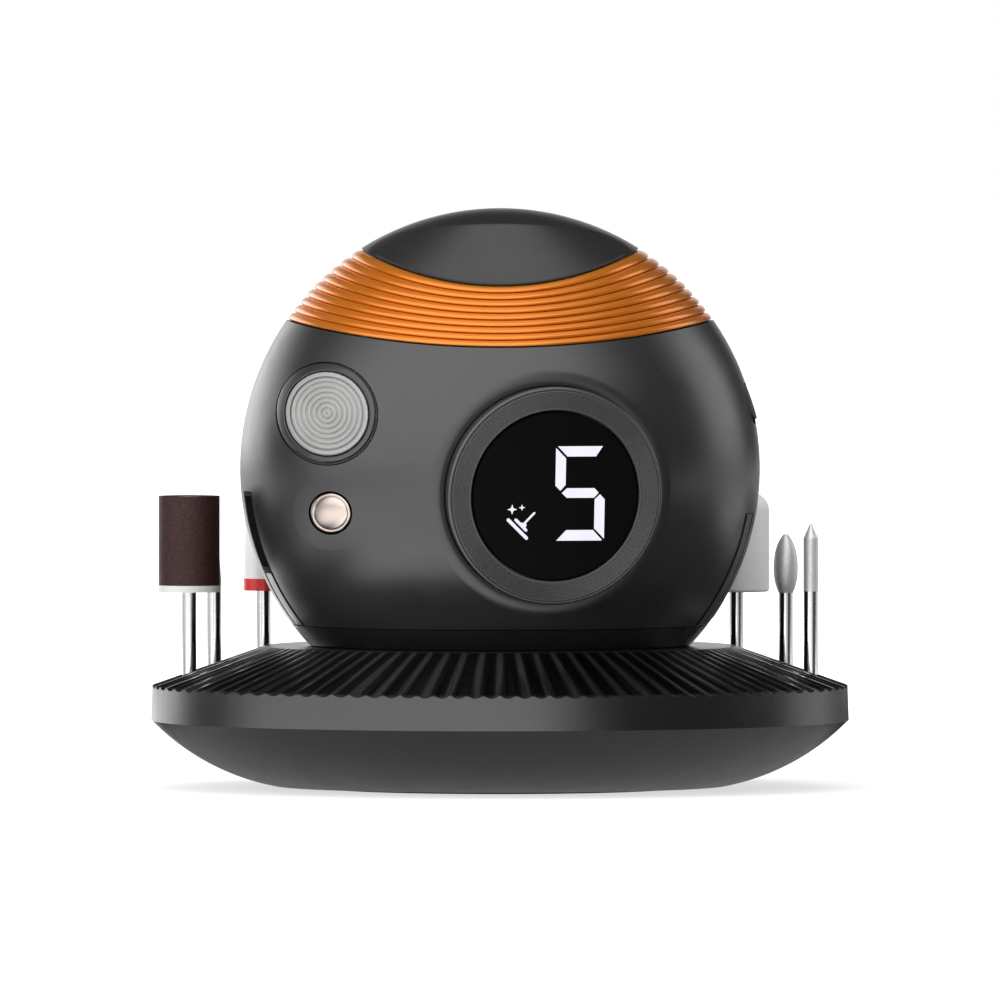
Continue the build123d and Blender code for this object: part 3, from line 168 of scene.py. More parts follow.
def own_place(tree):
    # Where a point lies on the piece, in metres
    return place_node(tree, "ShaderNodeTexCoord").outputs["Object"]


pale = empty_material("pale floor")
tree = pale.node_tree
ray = place_node(tree, "ShaderNodeLightPath")
at = own_place(tree)
far = place_node(tree, "ShaderNodeVectorMath", {0: at}, operation="LENGTH").outputs["Value"]
lift = remap(tree, far, lift_start, lift_end, lift_near, 1.0, "SMOOTHSTEP")
lifted = calc(tree, "MULTIPLY", lift, seen_straight(tree, ray))
paint = place_node(tree, "ShaderNodeBsdfDiffuse", {"Color": floor_colour})
glow = place_node(tree, "ShaderNodeEmission", {"Color": white, "Strength": lifted})
board = place_node(tree, "ShaderNodeAddShader", {0: paint.outputs[0], 1: glow.outputs[0]})
turn = bearing(tree, place_node(tree, "ShaderNodeSeparateXYZ", {0: at}))
painted_reflection = painted_reflection_base
# The painted reflection, each row: from and to in metres from the middle, their blur, from and to in
# degrees round it, their blur, its strength
for start, end, blur, low, high, soft, strength in (
    (-1, 0.067, 0.014, -200, 200, 10, 0.34),  # shade close round the base
    (0.067, 0.12, 0.014, -64, 22, 26, 1.9),  # front panel, close by
    (0.067, 0.44, 0.014, -166, -130, 10, 1.9),  # left panel behind
    (0.12, 0.44, 0.05, -94, 22, 26, 1.8),  # front panel
    (0.20, 0.74, 0.08, 109, 137, 6, 0.9),  # right panel behind
    (0.44, 0.74, 0.05, -56, 20, 50, 1.75),  # front panel, further out
    (0.44, 0.74, 0.05, -176, -110, 20, 1.7),  # left side, further out
    (0.44, 0.74, 0.05, 78, 104, 20, 1.5),  # right side, further out
    (0.74, 9, 0.05, -200, 35, 20, 0.5),  # far floor on the left
    (0.74, 9, 0.05, -70, 0, 40, 0.35),  # far floor in front
    (0.74, 9, 0.05, 95, 200, 20, 0.5),  # far floor behind, right
):
    sideways = between(tree, turn, low, high, soft)
    outward = between(tree, far, start, end, blur)
    patch = calc(tree, "MULTIPLY", sideways, outward)
    painted_reflection = calc(tree, "ADD", calc(tree, "MULTIPLY", patch, strength), painted_reflection)
# Glossy rays see the painted reflection as a glow in place of the board
painted_reflection_glow = place_node(tree, "ShaderNodeEmission", {"Color": white, "Strength": painted_reflection})
in_gloss = ray.outputs["Is Glossy Ray"]
face = place_node(tree, "ShaderNodeMixShader", {0: in_gloss, 1: board.outputs[0], 2: painted_reflection_glow.outputs[0]})
place_node(tree, "ShaderNodeOutputMaterial", {"Surface": face.outputs[0]})
floor_mesh.materials.append(pale)

# Base bowl: the lower half of the base, a turned shell of satin charcoal ABS with a fine spark-eroded
# grain. It carries the foot ring in a groove, and four screws from below join it to the deck.
grain_depth = 0.00006
gloss_low = 0.3
gloss_high = 0.7


def effect_group(name, inputs, outputs):
    # An empty node group: its inputs with their starting values, and its outputs
    made = bpy.data.node_groups.new(name, "ShaderNodeTree")
    for label, start in inputs.items():
        socket = made.interface.new_socket(name=label, in_out="INPUT", socket_type="NodeSocketFloat")
        socket.default_value = start
    for label in outputs:
        made.interface.new_socket(name=label, in_out="OUTPUT", socket_type="NodeSocketFloat")
    return made


def noise_at(tree, at, scale, **more):
    # A soft random pattern, with its scale in lumps per metre
    return place_node(tree, "ShaderNodeTexNoise", {"Vector": at, "Scale": scale, **more}).outputs[0]


def mix_colours(tree, share, one, other):
    # The first colour where the share is 0, and the second where it is 1
    one, other = (c if isinstance(c, bpy.types.NodeSocket) else (*c, 1) for c in (one, other))
    return place_node(tree, "ShaderNodeMix", {0: share, 6: one, 7: other}, data_type="RGBA").outputs[2]


def relief_from(tree, height, strength, depth):
    # A relief this deep in metres, from a pattern's height
    shape = {"Height": height, "Strength": strength, "Distance": depth}
    return place_node(tree, "ShaderNodeBump", shape).outputs[0]


def lay_skin(tree, inputs):
    # The surface itself, from these values and patterns
    skin = place_node(tree, "ShaderNodeBsdfPrincipled", inputs)
    place_node(tree, "ShaderNodeOutputMaterial", {"Surface": skin.outputs[0]})


moulded = effect_group("Moulded grain", {"Grain per metre": 5200.0, "Cloud per metre": 55.0},
                       ["Height", "Tone", "Gloss"])
given = place_node(moulded, "NodeGroupInput")
at = own_place(moulded)
pits = noise_at(moulded, at, given.outputs[0], Detail=3.0, Roughness=0.6)
cloud = noise_at(moulded, at, given.outputs[1], Detail=4.0, Roughness=0.55)
rub = noise_at(moulded, at, 210.0, Detail=5.0, Roughness=0.7, Distortion=0.6)
place_node(moulded, "NodeGroupOutput", {0: pits, 1: cloud, 2: rub})


def moulded_plastic(name, dark, light, roughness, grain=5200.0, relief=0.25, **shader):
    # A moulded plastic: two close tones, a roughness that varies a little, and a fine grain. Further
    # values go to the shader's sockets of those names
    made = empty_material(name)
    tree = made.node_tree
    surface = place_node(tree, "ShaderNodeGroup", {"Grain per metre": grain}, node_tree=moulded)
    rubbed = surface.outputs["Gloss"]
    lay_skin(tree, {
        "Base Color": mix_colours(tree, surface.outputs["Tone"], dark, light),
        "Roughness": remap(tree, rubbed, gloss_low, gloss_high, roughness * 0.9, roughness * 1.1),
        "Normal": relief_from(tree, surface.outputs["Height"], relief, grain_depth),
        **{key.replace("_", " "): value for key, value in shader.items()},
    })
    return made


def dress(nodes, material):
    # Gives CAD nodes their material
    for node in nodes:
        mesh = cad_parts[node].data
        mesh.materials.clear()
        mesh.materials.append(material)


base_plastic = moulded_plastic("base charcoal", (0.009, 0.009, 0.0093), (0.013, 0.013, 0.0133), 0.34,
                               Specular_IOR_Level=0.8)
dress(["base_bowl"], base_plastic)

# Ribbed deck: the top half of the base, moulded in the same plastic with a fluted cone round a flat
# plateau. The flutes are polished on their crests, and painted shade darkens their valleys to near
# black.
flute_count = 104
flute_sway = 0.11
sway_rounds = 3
flutes_from = 0.0385
flutes_full = 0.0395
flutes_bottom = 0.0168
flutes_top = 0.0172
crest_edge = 0.9
deck_dark = (0.009, 0.009, 0.0093)
deck_light = (0.014, 0.014, 0.0143)
# Painted shade for the flute valleys: near black, and metallic so it takes no plastic sheen
painted_valley_shade = (0.002, 0.002, 0.002)
plain_roughness = (0.22, 0.28)
crest_roughness = 0.11
valley_roughness = 0.45
deck_plastic = empty_material("deck charcoal")
tree = deck_plastic.node_tree
spot = place_node(tree, "ShaderNodeSeparateXYZ", {0: own_place(tree)})
x, y, z = (spot.outputs[axis] for axis in "XYZ")
# The flutes stand closer at the sides than in front, so their angle sways twice a turn
around = calc(tree, "ARCTAN2", y, x)
bend = around
for step in range(sway_rounds):
    swing = calc(tree, "SINE", calc(tree, "MULTIPLY", bend, 2.0))
    bend = calc(tree, "ADD", around, calc(tree, "MULTIPLY", swing, flute_sway))
flute = calc(tree, "COSINE", calc(tree, "MULTIPLY", bend, flute_count))
out_squared = calc(tree, "ADD", calc(tree, "POWER", x, 2.0), calc(tree, "POWER", y, 2.0))
fluted = remap(tree, out_squared, flutes_from**2, flutes_full**2)
above = remap(tree, z, flutes_bottom, flutes_top)
on_flutes = calc(tree, "MULTIPLY", fluted, above)
# Where painted shade darkens each flute's valley
shaded_valley = calc(tree, "MULTIPLY", remap(tree, flute, 0.0, crest_edge, 1.0, 0.0), on_flutes)
surface = place_node(tree, "ShaderNodeGroup", {"Grain per metre": 5200.0}, node_tree=moulded)
plain = mix_colours(tree, surface.outputs["Tone"], deck_dark, deck_light)
gloss = remap(tree, surface.outputs["Gloss"], gloss_low, gloss_high, *plain_roughness)
crest = mix_values(tree, on_flutes, gloss, crest_roughness)
lay_skin(tree, {
    "Base Color": mix_colours(tree, shaded_valley, plain, painted_valley_shade),
    "Metallic": shaded_valley,
    "Roughness": mix_values(tree, shaded_valley, crest, valley_roughness),
    "Normal": relief_from(tree, surface.outputs["Height"], 0.08, grain_depth),
    "Specular IOR Level": 0.8,
})
dress(["ribbed_deck"], deck_plastic)

# Foot ring and grommets: pressed black rubber with a dull bloom. The ring is glued into the bowl's
# groove, and the six grommets are pressed into the deck, one for each bit's shank.
foot_rubber = moulded_plastic("foot rubber", (0.014, 0.014, 0.014), (0.026, 0.026, 0.027), 0.78,
                              grain=3800.0, relief=0.6)
dress(["foot_ring", "bit_grommets"], foot_rubber)

# Fasteners and other steel: zinc-plated screws and the key's pin, which hold the mouldings together. The
# ballast plate, the dial's magnet and the port's shell have the same finely mottled plate.
zinc = empty_material("zinc plate")
tree = zinc.node_tree
mottle = noise_at(tree, own_place(tree), 2600.0, Detail=4.0)
lay_skin(tree, {
    "Base Color": (0.55, 0.56, 0.58, 1),
    "Metallic": 1.0,
    "Roughness": remap(tree, mottle, 0.0, 1.0, 0.26, 0.44),
    "Normal": relief_from(tree, mottle, 0.2, 0.00003),
})
dress(["base_screws", "shell_screws", "bottom_screws", "frame_screws", "dial_screws"], zinc)
dress(["rocker_pin", "ballast_plate", "dial_magnet", "usb_port"], zinc)

# Ball shells: the front and rear halves of the ball, moulded in charcoal plastic with a smooth satin
# coat. Four long screws from behind draw them together.
shell_plastic = moulded_plastic("shell charcoal", (0.017, 0.017, 0.0173), (0.022, 0.022, 0.0223), 0.30,
                                grain=6000.0, relief=0.04, Specular_IOR_Level=0.75)
dress(["front_shell", "rear_shell"], shell_plastic)

# Neck ring: the collar that closes the shells' lower edge, moulded in gloss black and polished. It
# stands on the deck's plateau.
neck_gloss = moulded_plastic("neck gloss black", (0.010, 0.010, 0.010), (0.014, 0.014, 0.015), 0.16,
                             grain=3000.0, relief=0.03)
dress(["neck_ring"], neck_gloss)

# Inner mouldings and the side key: plain black plastic with an eroded grain. The bottom plate, the top
# frame and the dial's carrier are screwed to the shells, and the key rocks on its pin.
inner_black = moulded_plastic("inner black", (0.016, 0.016, 0.017), (0.024, 0.024, 0.025), 0.52,
                              grain=4200.0, relief=0.35)
dress(["bottom_plate", "top_frame", "dial_carrier", "rocker_frame", "battery_holder"], inner_black)
dress(["display_module", "power_switch", "direction_switch", "side_key"], inner_black)

# Boards and cells: glass-fibre boards with a green solder mask, and two cells in blue shrink sleeves.
# The main board stands on posts and the charging board on pads, and the cells lie in their holder.
board_green = moulded_plastic("board green", (0.012, 0.10, 0.045), (0.020, 0.15, 0.065), 0.34,
                              grain=2400.0, relief=0.2)
dress(["main_board", "charge_board", "encoder_board", "lamp_board"], board_green)
cell_blue = moulded_plastic("cell sleeve", (0.02, 0.10, 0.30), (0.03, 0.14, 0.38), 0.28,
                            grain=2000.0, relief=0.1)
dress(["battery_cells"], cell_blue)

# Ribbed band: a ring of nine rounded ribs in orange lacquer, seated between the shells and the cap. Each
# rib is an arc in front view that rises to the sides, with a narrow valley to the next.
ball_centre = Vector((0, 0, 0.052977))
ball_radius = 0.043
band_middle = (0.0207, 0.0308)
band_side = (0.0245, 0.0364)
band_root = 0.0028
shadow_gap = 0.00012
rib_count = 9
rib_rise = 0.00038
valley_cut = 0.0003
rib_steps = 9
ring_steps = 288


def join_rings(sketch, rings, closed=False):
    # Joins each ring of edges to the next one with faces
    for one, other in zip(rings, rings[1:] + rings[:1] if closed else rings[1:]):
        bmesh.ops.bridge_loops(sketch, edges=[e for ring in (one, other) for e in ring])


def ring_edges(made):
    # The edges of a circle that was just drawn
    return list({edge for vert in made["verts"] for edge in vert.link_edges})


def new_piece(name, sketch, body, stands_for, material, smooth_below=50):
    # Turns a finished sketch into a piece with its faces outwards, on its body and in its nodes' place.
    # Edges that bend by less than so many degrees are smooth
    bmesh.ops.remove_doubles(sketch, verts=sketch.verts, dist=1e-7)
    bmesh.ops.recalc_face_normals(sketch, faces=sketch.faces)
    for edge in sketch.edges:
        edge.smooth = edge.is_manifold and edge.calc_face_angle(0) < radians(smooth_below)
    for face in sketch.faces:
        face.smooth = True
    mesh = bpy.data.meshes.new(name)
    sketch.to_mesh(mesh)
    sketch.free()
    mesh.materials.append(material)
    piece = bpy.data.objects.new(name, mesh)
    scene.collection.objects.link(piece)
    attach(piece, body)
    if stands_for:
        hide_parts(*stands_for)


def band_height(share, turn, radius):
    # Height above the ball's centre of a line on a sphere: an arc in front view that rises to the sides,
    # drawn straight through from front to back
    middle, side = (low + (high - low) * share for low, high in (band_middle, band_side))
    bow = (ball_radius**2 - side**2 + (side - middle) ** 2) / (2 * (side - middle))
    top = middle + bow
    sideways = cos(turn) ** 2
    reach = top**2 - bow**2 + sideways * radius**2
    return reach / (top + sqrt(top**2 - (1 - sideways) * reach))


def band_ring(sketch, share, radius, lift=0):
    # A closed line on a sphere of this radius at this share of the band's height
    made = bmesh.ops.create_circle(sketch, segments=ring_steps, radius=1)
    for vert in made["verts"]:
        height = band_height(share, atan2(vert.co.y, vert.co.x), radius) + lift
        out = sqrt(radius**2 - height**2)
        vert.co = ball_centre + Vector((vert.co.x * out, vert.co.y * out, height))
    return ring_edges(made)


sketch = bmesh.new()
rings = [band_ring(sketch, 0, ball_radius - band_root, shadow_gap)]
for step in range(rib_count * rib_steps + 1):
    across = 2 * (step % rib_steps) / rib_steps - 1
    drop = rib_rise * across**2 + (valley_cut if step % rib_steps == 0 else 0)
    share = step / (rib_count * rib_steps)
    rings.append(band_ring(sketch, share, ball_radius - drop, shadow_gap * (1 - 2 * share)))
rings.append(band_ring(sketch, 1, ball_radius - band_root, -shadow_gap))
join_rings(sketch, rings, closed=True)
band_lacquer = moulded_plastic("band orange", (0.68, 0.198, 0.016), (0.72, 0.225, 0.022), 0.22,
                               grain=900.0, relief=0.02, Metallic=0.5, Specular_IOR_Level=0.6)
new_piece("orange_band", sketch, "ball", ["ribbed_band"], band_lacquer, smooth_below=70)

# Top cap: the crown of the ball, moulded in the shells' plastic and screwed down from inside. One smooth
# oval dish with a crisp rim faces forward and dips behind the band.
cap_rings = 96
cap_wall = 0.002
dish_lean = radians(53)
dish_tall = radians(18)
dish_wide = radians(31)
dish_depth = 0.0019


def cap_ring(sketch, share, inset):
    # A closed line round the crown at this share of the way from the band's edge to the top
    made = bmesh.ops.create_circle(sketch, segments=ring_steps, radius=1)
    for vert in made["verts"]:
        start = asin(band_height(1, atan2(vert.co.y, vert.co.x), ball_radius) / ball_radius)
        lean = start + (pi / 2 - start) * share
        direction = Vector((vert.co.x * cos(lean), vert.co.y * cos(lean), sin(lean)))
        away = ((lean - dish_lean) / dish_tall) ** 2 + (asin(direction.x) / dish_wide) ** 2
        depth = dish_depth * max(0, 1 - away) if direction.y < 0 else 0
        vert.co = ball_centre + direction * (ball_radius - depth - inset)
    return ring_edges(made)


sketch = bmesh.new()
outside = [cap_ring(sketch, step / cap_rings, 0) for step in range(cap_rings)]
inside = [cap_ring(sketch, step / cap_rings, cap_wall) for step in range(cap_rings)]
for skin in (outside, inside):
    join_rings(sketch, skin)
    bmesh.ops.contextual_create(sketch, geom=skin[-1])
join_rings(sketch, [outside[0], inside[0]])
new_piece("crown_cap", sketch, "ball", ["top_cap"], shell_plastic, smooth_below=9)

# Band shade rings: two thin rings of the black rubber, set into the seams above and below the band as
# painted shade of the seam gaps. Only their outer edge shows, as a dark line.
shade_ring_profile = ((0.0003, 0), (0.0002, 0.00007), (0.0002, 0.00021), (0.0003, 0.00028), (0.0016, 0.00028),
                (0.0016, 0))
for name, share, foot in (("crown_shade_ring", 1, 0.00002), ("shell_shade_ring", 0, -0.0003)):
    sketch = bmesh.new()
    rings = [band_ring(sketch, share, ball_radius - sunk, foot + rise) for sunk, rise in shade_ring_profile]
    join_rings(sketch, rings, closed=True)
    new_piece(name, sketch, "ball", [], foot_rubber)

# Dial ring: a turned ring of dark lacquered metal that runs on the fixed tube. Its face has fine
# concentric grooves between two plain edges, and a rounded lip round the outside.
dial_azimuth = radians(12.6)
dial_drop = radians(4.9)
dial_normal = Vector((sin(dial_azimuth) * cos(dial_drop), -cos(dial_azimuth) * cos(dial_drop),
                      -sin(dial_drop)))
dial_right = Vector((cos(dial_azimuth), sin(dial_azimuth), 0))
dial_up = dial_normal.cross(dial_right)
dial_frame = Matrix((dial_right, dial_up, dial_normal)).transposed()
dial_radius = 0.01775
dial_bore = 0.01305
dial_bottom = 0.0346
dial_steps = 240
skirt_bore = 0.0166
bore_bottom = 0.0362
bore_top = 0.0396
face_height = 0.042
groove_start = 0.01448
groove_pitch = 0.0002283
groove_depth = 0.0001
groove_count = 12
groove_shape = ((0.15, 0.3), (0.3, 0.85), (0.5, 1.0), (0.7, 0.85), (0.85, 0.3), (1.0, 0.0))
lip_start = 0.01746
lip_foot = face_height - 0.0004
lip_width = 0.00029
lip_rise = 0.00034
lip_fall = 0.00035
lip_steps = 8


def on_dial(point):
    # From the dial's own right, up and outward distances to the object's
    return ball_centre + dial_frame @ Vector(point)


def turned(sketch, profile, steps):
    # Spins a profile of radius and height about the Z axis
    verts = [sketch.verts.new((radius, 0, height)) for radius, height in profile]
    edges = [sketch.edges.new(pair) for pair in zip(verts, verts[1:])]
    bmesh.ops.spin(sketch, geom=verts + edges, axis=(0, 0, 1), cent=(0, 0, 0), angle=2 * pi,
                   steps=steps, use_merge=True)


profile = [(dial_bore, bore_top), (0.0141, bore_top), (0.0141, 0.04168), (0.01418, 0.04186),
           (0.0143, face_height), (groove_start, face_height)]
for groove in range(groove_count):
    start = groove_start + groove_pitch * groove
    profile += [(start + groove_pitch * share, face_height - groove_depth * fall)
                for share, fall in groove_shape]
profile += [(0.01728, face_height), (0.01736, face_height - 0.00006), (0.0174, lip_foot),
            (lip_start, lip_foot)]
for step in range(1, lip_steps):
    angle = step * pi / lip_steps
    profile.append((lip_start + lip_width * (1 - cos(angle)),
                    lip_foot + lip_rise * sin(angle) - lip_fall * step / lip_steps))
profile += [(dial_radius, face_height - 0.001), (dial_radius, dial_bottom), (skirt_bore, dial_bottom),
            (skirt_bore, bore_bottom), (dial_bore, bore_bottom), (dial_bore, bore_top)]
sketch = bmesh.new()
turned(sketch, profile, dial_steps)
for vert in sketch.verts:
    vert.co = on_dial(vert.co)
dial_lacquer = moulded_plastic("dial lacquer", (0.034, 0.034, 0.035), (0.043, 0.043, 0.044), 0.26,
                               grain=5000.0, relief=0.03, Specular_IOR_Level=0.75)
new_piece("grooved_dial", sketch, "dial", ["dial_ring"], dial_lacquer, smooth_below=25)

# Display glass: a polished black disc with a low-reflection coat. It is glued on the end of the fixed
# tube, so it stays still while the dial turns round it.
glass_black = moulded_plastic("display glass", (0.0015, 0.0015, 0.0017), (0.002, 0.002, 0.0022), 0.05,
                              grain=900.0, relief=0.0, Specular_IOR_Level=0.05)
dress(["display_glass"], glass_black)

# Lit digit: five bars of a seven-bar digit that shine through the glass, with mitred ends and a hair gap
# between them. A small brush with two sparkles is lit beside it. The outlines are in millimetres.
digit_drop = 0.00034
digit_height = 0.04170
digit_thickness = 0.00002
sparkle_waist = 0.36
digit_bars = [
    [(0.32, 8.55), (7.9, 8.55), (6.75, 6.85), (1.95, 6.85)],
    [(0.0, 8.3), (1.72, 6.55), (1.72, 2.15), (0.85, 1.2), (0.0, 2.05)],
    [(1.1, 0.83), (1.95, 1.62), (6.6, 1.62), (7.3, 0.85), (6.55, 0.02), (1.95, 0.02)],
    [(7.55, 0.6), (8.35, -0.25), (8.35, -6.75), (6.65, -5.05), (6.65, -0.25)],
    [(0.3, -7.05), (1.95, -5.3), (6.45, -5.3), (8.0, -6.95), (7.85, -7.05)],
]
brush_parts = [
    [(-8.05, -3.35), (-7.7, -3.3), (-4.45, -6.45), (-4.5, -6.85), (-4.85, -6.85), (-8.1, -3.7)],
    [(-6.75, -3.35), (-6.4, -3.35), (-4.6, -5.15), (-4.6, -5.5), (-4.95, -5.5), (-6.8, -3.65)],
    [(-5.95, -3.95), (-5.2, -4.1), (-5.05, -3.95), (-4.75, -4.25), (-4.75, -4.55), (-4.95, -5.0)],
    [(-5.25, -4.05), (-3.55, -2.3), (-3.3, -2.3), (-3.3, -2.55), (-5.0, -4.3)],
]


def sparkle(x, y, reach):
    # A four-pointed star
    corners = []
    for step in range(8):
        radius = reach if step % 2 == 0 else reach * sparkle_waist
        corners.append((x + radius * cos(step * pi / 4), y + radius * sin(step * pi / 4)))
    return corners


sketch = bmesh.new()
for outline in digit_bars + brush_parts + [sparkle(-7.2, -1.85, 0.85), sparkle(-5.55, -1.55, 0.55)]:
    corners = [sketch.verts.new((x / 1000, y / 1000 - digit_drop, digit_height)) for x, y in outline]
    grown = bmesh.ops.extrude_face_region(sketch, geom=[sketch.faces.new(corners)])["geom"]
    front = [part for part in grown if isinstance(part, bmesh.types.BMVert)]
    bmesh.ops.translate(sketch, vec=(0, 0, digit_thickness), verts=front)
for vert in sketch.verts:
    vert.co = on_dial(vert.co)
lit = empty_material("lit bars")
tree = lit.node_tree
spread = noise_at(tree, own_place(tree), 300.0)
lay_skin(tree, {
    "Base Color": (0.10, 0.10, 0.11, 1),
    "Roughness": 0.4,
    "Emission Color": mix_colours(tree, spread, (0.80, 0.80, 0.95), (0.95, 0.95, 1.0)),
    "Emission Strength": 0.9,
})
new_piece("lit_digit", sketch, "ball", [], lit)

# Lamp: a frosted lens with seven moulded rings, in a bezel ring of the shells' plastic, with a thin
# black ring of painted shade in the gap round it. They are let into the shell along the mould's draw, so
# they look round from the front, and their faces follow the ball. A white reflector tube stands behind
# the lens.
lamp_x = -0.0285
lamp_z = ball_centre.z + 0.0097
lens_radius = 0.00685
lens_back = -0.0017
lens_floor = -0.0005
lens_rings = 7
lens_ripple = 0.00042
ring_step = (lens_radius - 0.0009) / lens_rings
bezel_back = -0.0033
bezel_outside = 0.00815
bezel_inside = 0.007
bezel_offset = 0.00018


def onto_ball(x, z, radius):
    # The point of the ball's front at this place
    return Vector((x, -sqrt(radius**2 - x**2 - (z - ball_centre.z) ** 2), z))


def draped_disc(sketch, rings, place_x, place_z, steps=128):
    # A disc or ring seen round from the front: each ring has a radius, a height above the ball and,
    # where it is set off towards the upper left, by how much
    loops = []
    for radius, height, *offset in rings:
        made = bmesh.ops.create_circle(sketch, segments=steps, radius=radius)
        off = sum(offset)
        for vert in made["verts"]:
            x, z = place_x + vert.co.x - off, place_z + vert.co.y + off
            vert.co = onto_ball(x, z, ball_radius + height)
        loops.append(ring_edges(made))
    join_rings(sketch, loops)
    return loops


profile = [(lens_radius, lens_back), (lens_radius, -0.0003), (lens_radius - 0.00012, -0.00012),
           (lens_radius - 0.0004, -0.00004), (lens_radius - 0.0007, -0.00012),
           (lens_radius - 0.00085, lens_floor)]
for number in range(lens_rings, 0, -1):
    outer = ring_step * number
    profile += [(outer - ring_step * share, lens_floor + lens_ripple * sin(pi * share) ** 0.8)
                for share in (0.06, 0.2, 0.35, 0.5, 0.65, 0.8, 0.94)]
sketch = bmesh.new()
loops = draped_disc(sketch, profile, lamp_x, lamp_z)
bmesh.ops.contextual_create(sketch, geom=loops[-1])
bmesh.ops.contextual_create(sketch, geom=loops[0])
frosted = moulded_plastic("frosted lens", (0.29, 0.288, 0.28), (0.36, 0.357, 0.35), 0.26,
                          grain=1600.0, relief=0.15, Coat_Weight=0.3, Coat_Roughness=0.15)
new_piece("ringed_lens", sketch, "ball", ["lamp_lens"], frosted, smooth_below=60)

bezel_profile = [(bezel_outside, bezel_back, bezel_offset), (bezel_outside, -0.0002, bezel_offset),
                 (0.00808, 0.00002, bezel_offset), (0.00796, 0.0001, bezel_offset),
                 (0.00722, 0.0001), (0.00706, 0), (bezel_inside, -0.0002), (bezel_inside, bezel_back)]
# A black rubber ring sunk in the gap round the bezel, as painted shade of the gap
lamp_shade_profile = [(0.00834, -0.0012), (0.00834, -0.0002), (0.008, -0.0002), (0.008, -0.0012)]
for name, profile, stands_for, slot, material, smooth_below in (
    ("lamp_ring", bezel_profile, ["lamp_bezel"], "shell", shell_plastic, 35),
    ("lamp_shade_ring", lamp_shade_profile, [], "rubber", foot_rubber, 50),
):
    sketch = bmesh.new()
    loops = draped_disc(sketch, profile, lamp_x, lamp_z)
    join_rings(sketch, [loops[-1], loops[0]])
    new_piece(name, sketch, "ball", stands_for, material, smooth_below)

reflector_white = moulded_plastic("reflector white", (0.70, 0.70, 0.69), (0.78, 0.78, 0.77), 0.30,
                                  grain=2000.0, relief=0.1)
dress(["lamp_reflector"], reflector_white)

# Power button: a domed cap of rose-gold plated metal with a bright turned rim. Its plunger runs in the
# shell's guide and is held behind the shell by its flange.
button_x = -0.0279
button_z = ball_centre.z - 0.0066
button_radius = 0.0033
button_back = -0.0236
dome_radius = 0.0028
dome_foot = 0.00006
dome_rise = 0.00055
dome_steps = 12
profile = [(button_radius, -0.0002), (0.00324, 0.00004), (0.0031, 0.00014), (0.00292, 0.00014),
           (dome_radius, dome_foot)]
for step in range(1, dome_steps):
    angle = step * pi / (2 * dome_steps)
    profile.append((dome_radius * cos(angle), dome_foot + dome_rise * sin(angle)))
sketch = bmesh.new()
loops = draped_disc(sketch, profile, button_x, button_z, steps=96)
bmesh.ops.contextual_create(sketch, geom=loops[-1])
grown = bmesh.ops.extrude_edge_only(sketch, edges=loops[0])["geom"]
for vert in [part for part in grown if isinstance(part, bmesh.types.BMVert)]:
    vert.co.y = button_back
bmesh.ops.holes_fill(sketch, edges=[edge for edge in sketch.edges if edge.is_boundary], sides=0)
rose_gold = empty_material("rose gold plate")
tree = rose_gold.node_tree
satin = noise_at(tree, own_place(tree), 1500.0, Detail=3.0)
lay_skin(tree, {
    "Base Color": mix_colours(tree, satin, (0.54, 0.46, 0.415), (0.59, 0.505, 0.46)),
    "Metallic": 1.0,
    "Roughness": remap(tree, satin, 0.0, 1.0, 0.26, 0.32),
    "Normal": relief_from(tree, satin, 0.03, 0.00002),
})
new_piece("metal_button", sketch, "power_button", ["power_button"], rose_gold,
          smooth_below=40)

# Side strips and the handpiece socket: satin grey metal trim let into both sides, with dull near-black
# painted shade along its front and back edges, held by a flange behind the shell. A plated jack sits in
# the black slot on the left.
strip_front = (-0.0111, -0.0109)
strip_back = (-0.0074, -0.0072)
painted_seam_shade = (0.004, 0.004, 0.004)
edge_roughness = 0.95
strip_metal = empty_material("strip metal")
tree = strip_metal.node_tree
at = own_place(tree)
depth = place_node(tree, "ShaderNodeSeparateXYZ", {0: at}).outputs["Y"]
# Painted shade of the seams along the strip's front and back edges
front_seam_shade = remap(tree, depth, *strip_front, 1.0, 0.0)
back_seam_shade = remap(tree, depth, *strip_back)
edge = calc(tree, "MAXIMUM", front_seam_shade, back_seam_shade)
brushed = noise_at(tree, at, 1800.0, Detail=3.0)
silver = mix_colours(tree, brushed, (0.15, 0.15, 0.152), (0.20, 0.20, 0.202))
sheen = remap(tree, brushed, 0.0, 1.0, 0.24, 0.36)
lay_skin(tree, {
    "Base Color": mix_colours(tree, edge, silver, painted_seam_shade),
    "Metallic": 0.85,
    "Roughness": mix_values(tree, edge, sheen, edge_roughness),
    "Normal": relief_from(tree, brushed, 0.05, 0.00002),
})
dress(["left_strip", "right_strip"], strip_metal)
# The slot's liner: black plastic, painted darker still and with little sheen, as painted shade of the
# deep slot
slot_black_and_shade = moulded_plastic("slot black and shade", (0.002, 0.002, 0.002), (0.004, 0.004, 0.004), 0.7,
                             grain=3000.0, relief=0.4, Specular_IOR_Level=0.12)
dress(["slot_liner"], slot_black_and_shade)
dress(["handpiece_socket"], zinc)

# Charging port's cover: a flap of the foot ring's soft black rubber. It is let into the shell, and its
# strap on the surface above holds it when it swings open.
dress(["port_flap"], foot_rubber)

# Bit shanks: bars of steel of the standard size, ground and polished, with very fine grinding lines.
# Each stands in its grommet and carries a bit's head on top.
shank_lines = (300, 300, 9000)
polished = empty_material("polished shank")
tree = polished.node_tree
stretch = place_node(tree, "ShaderNodeMapping", {"Vector": own_place(tree), "Scale": shank_lines})
lines = noise_at(tree, stretch.outputs[0], 1.0, Detail=3.0)
lay_skin(tree, {
    "Base Color": (0.90, 0.90, 0.90, 1),
    "Metallic": 1.0,
    "Roughness": remap(tree, lines, 0.0, 1.0, 0.05, 0.12),
    "Normal": relief_from(tree, lines, 0.03, 0.00001),
})
dress(["drum_shank", "cone_shank", "ceramic_shank"], polished)
dress(["needle_shank", "flame_shank", "felt_shank"], polished)

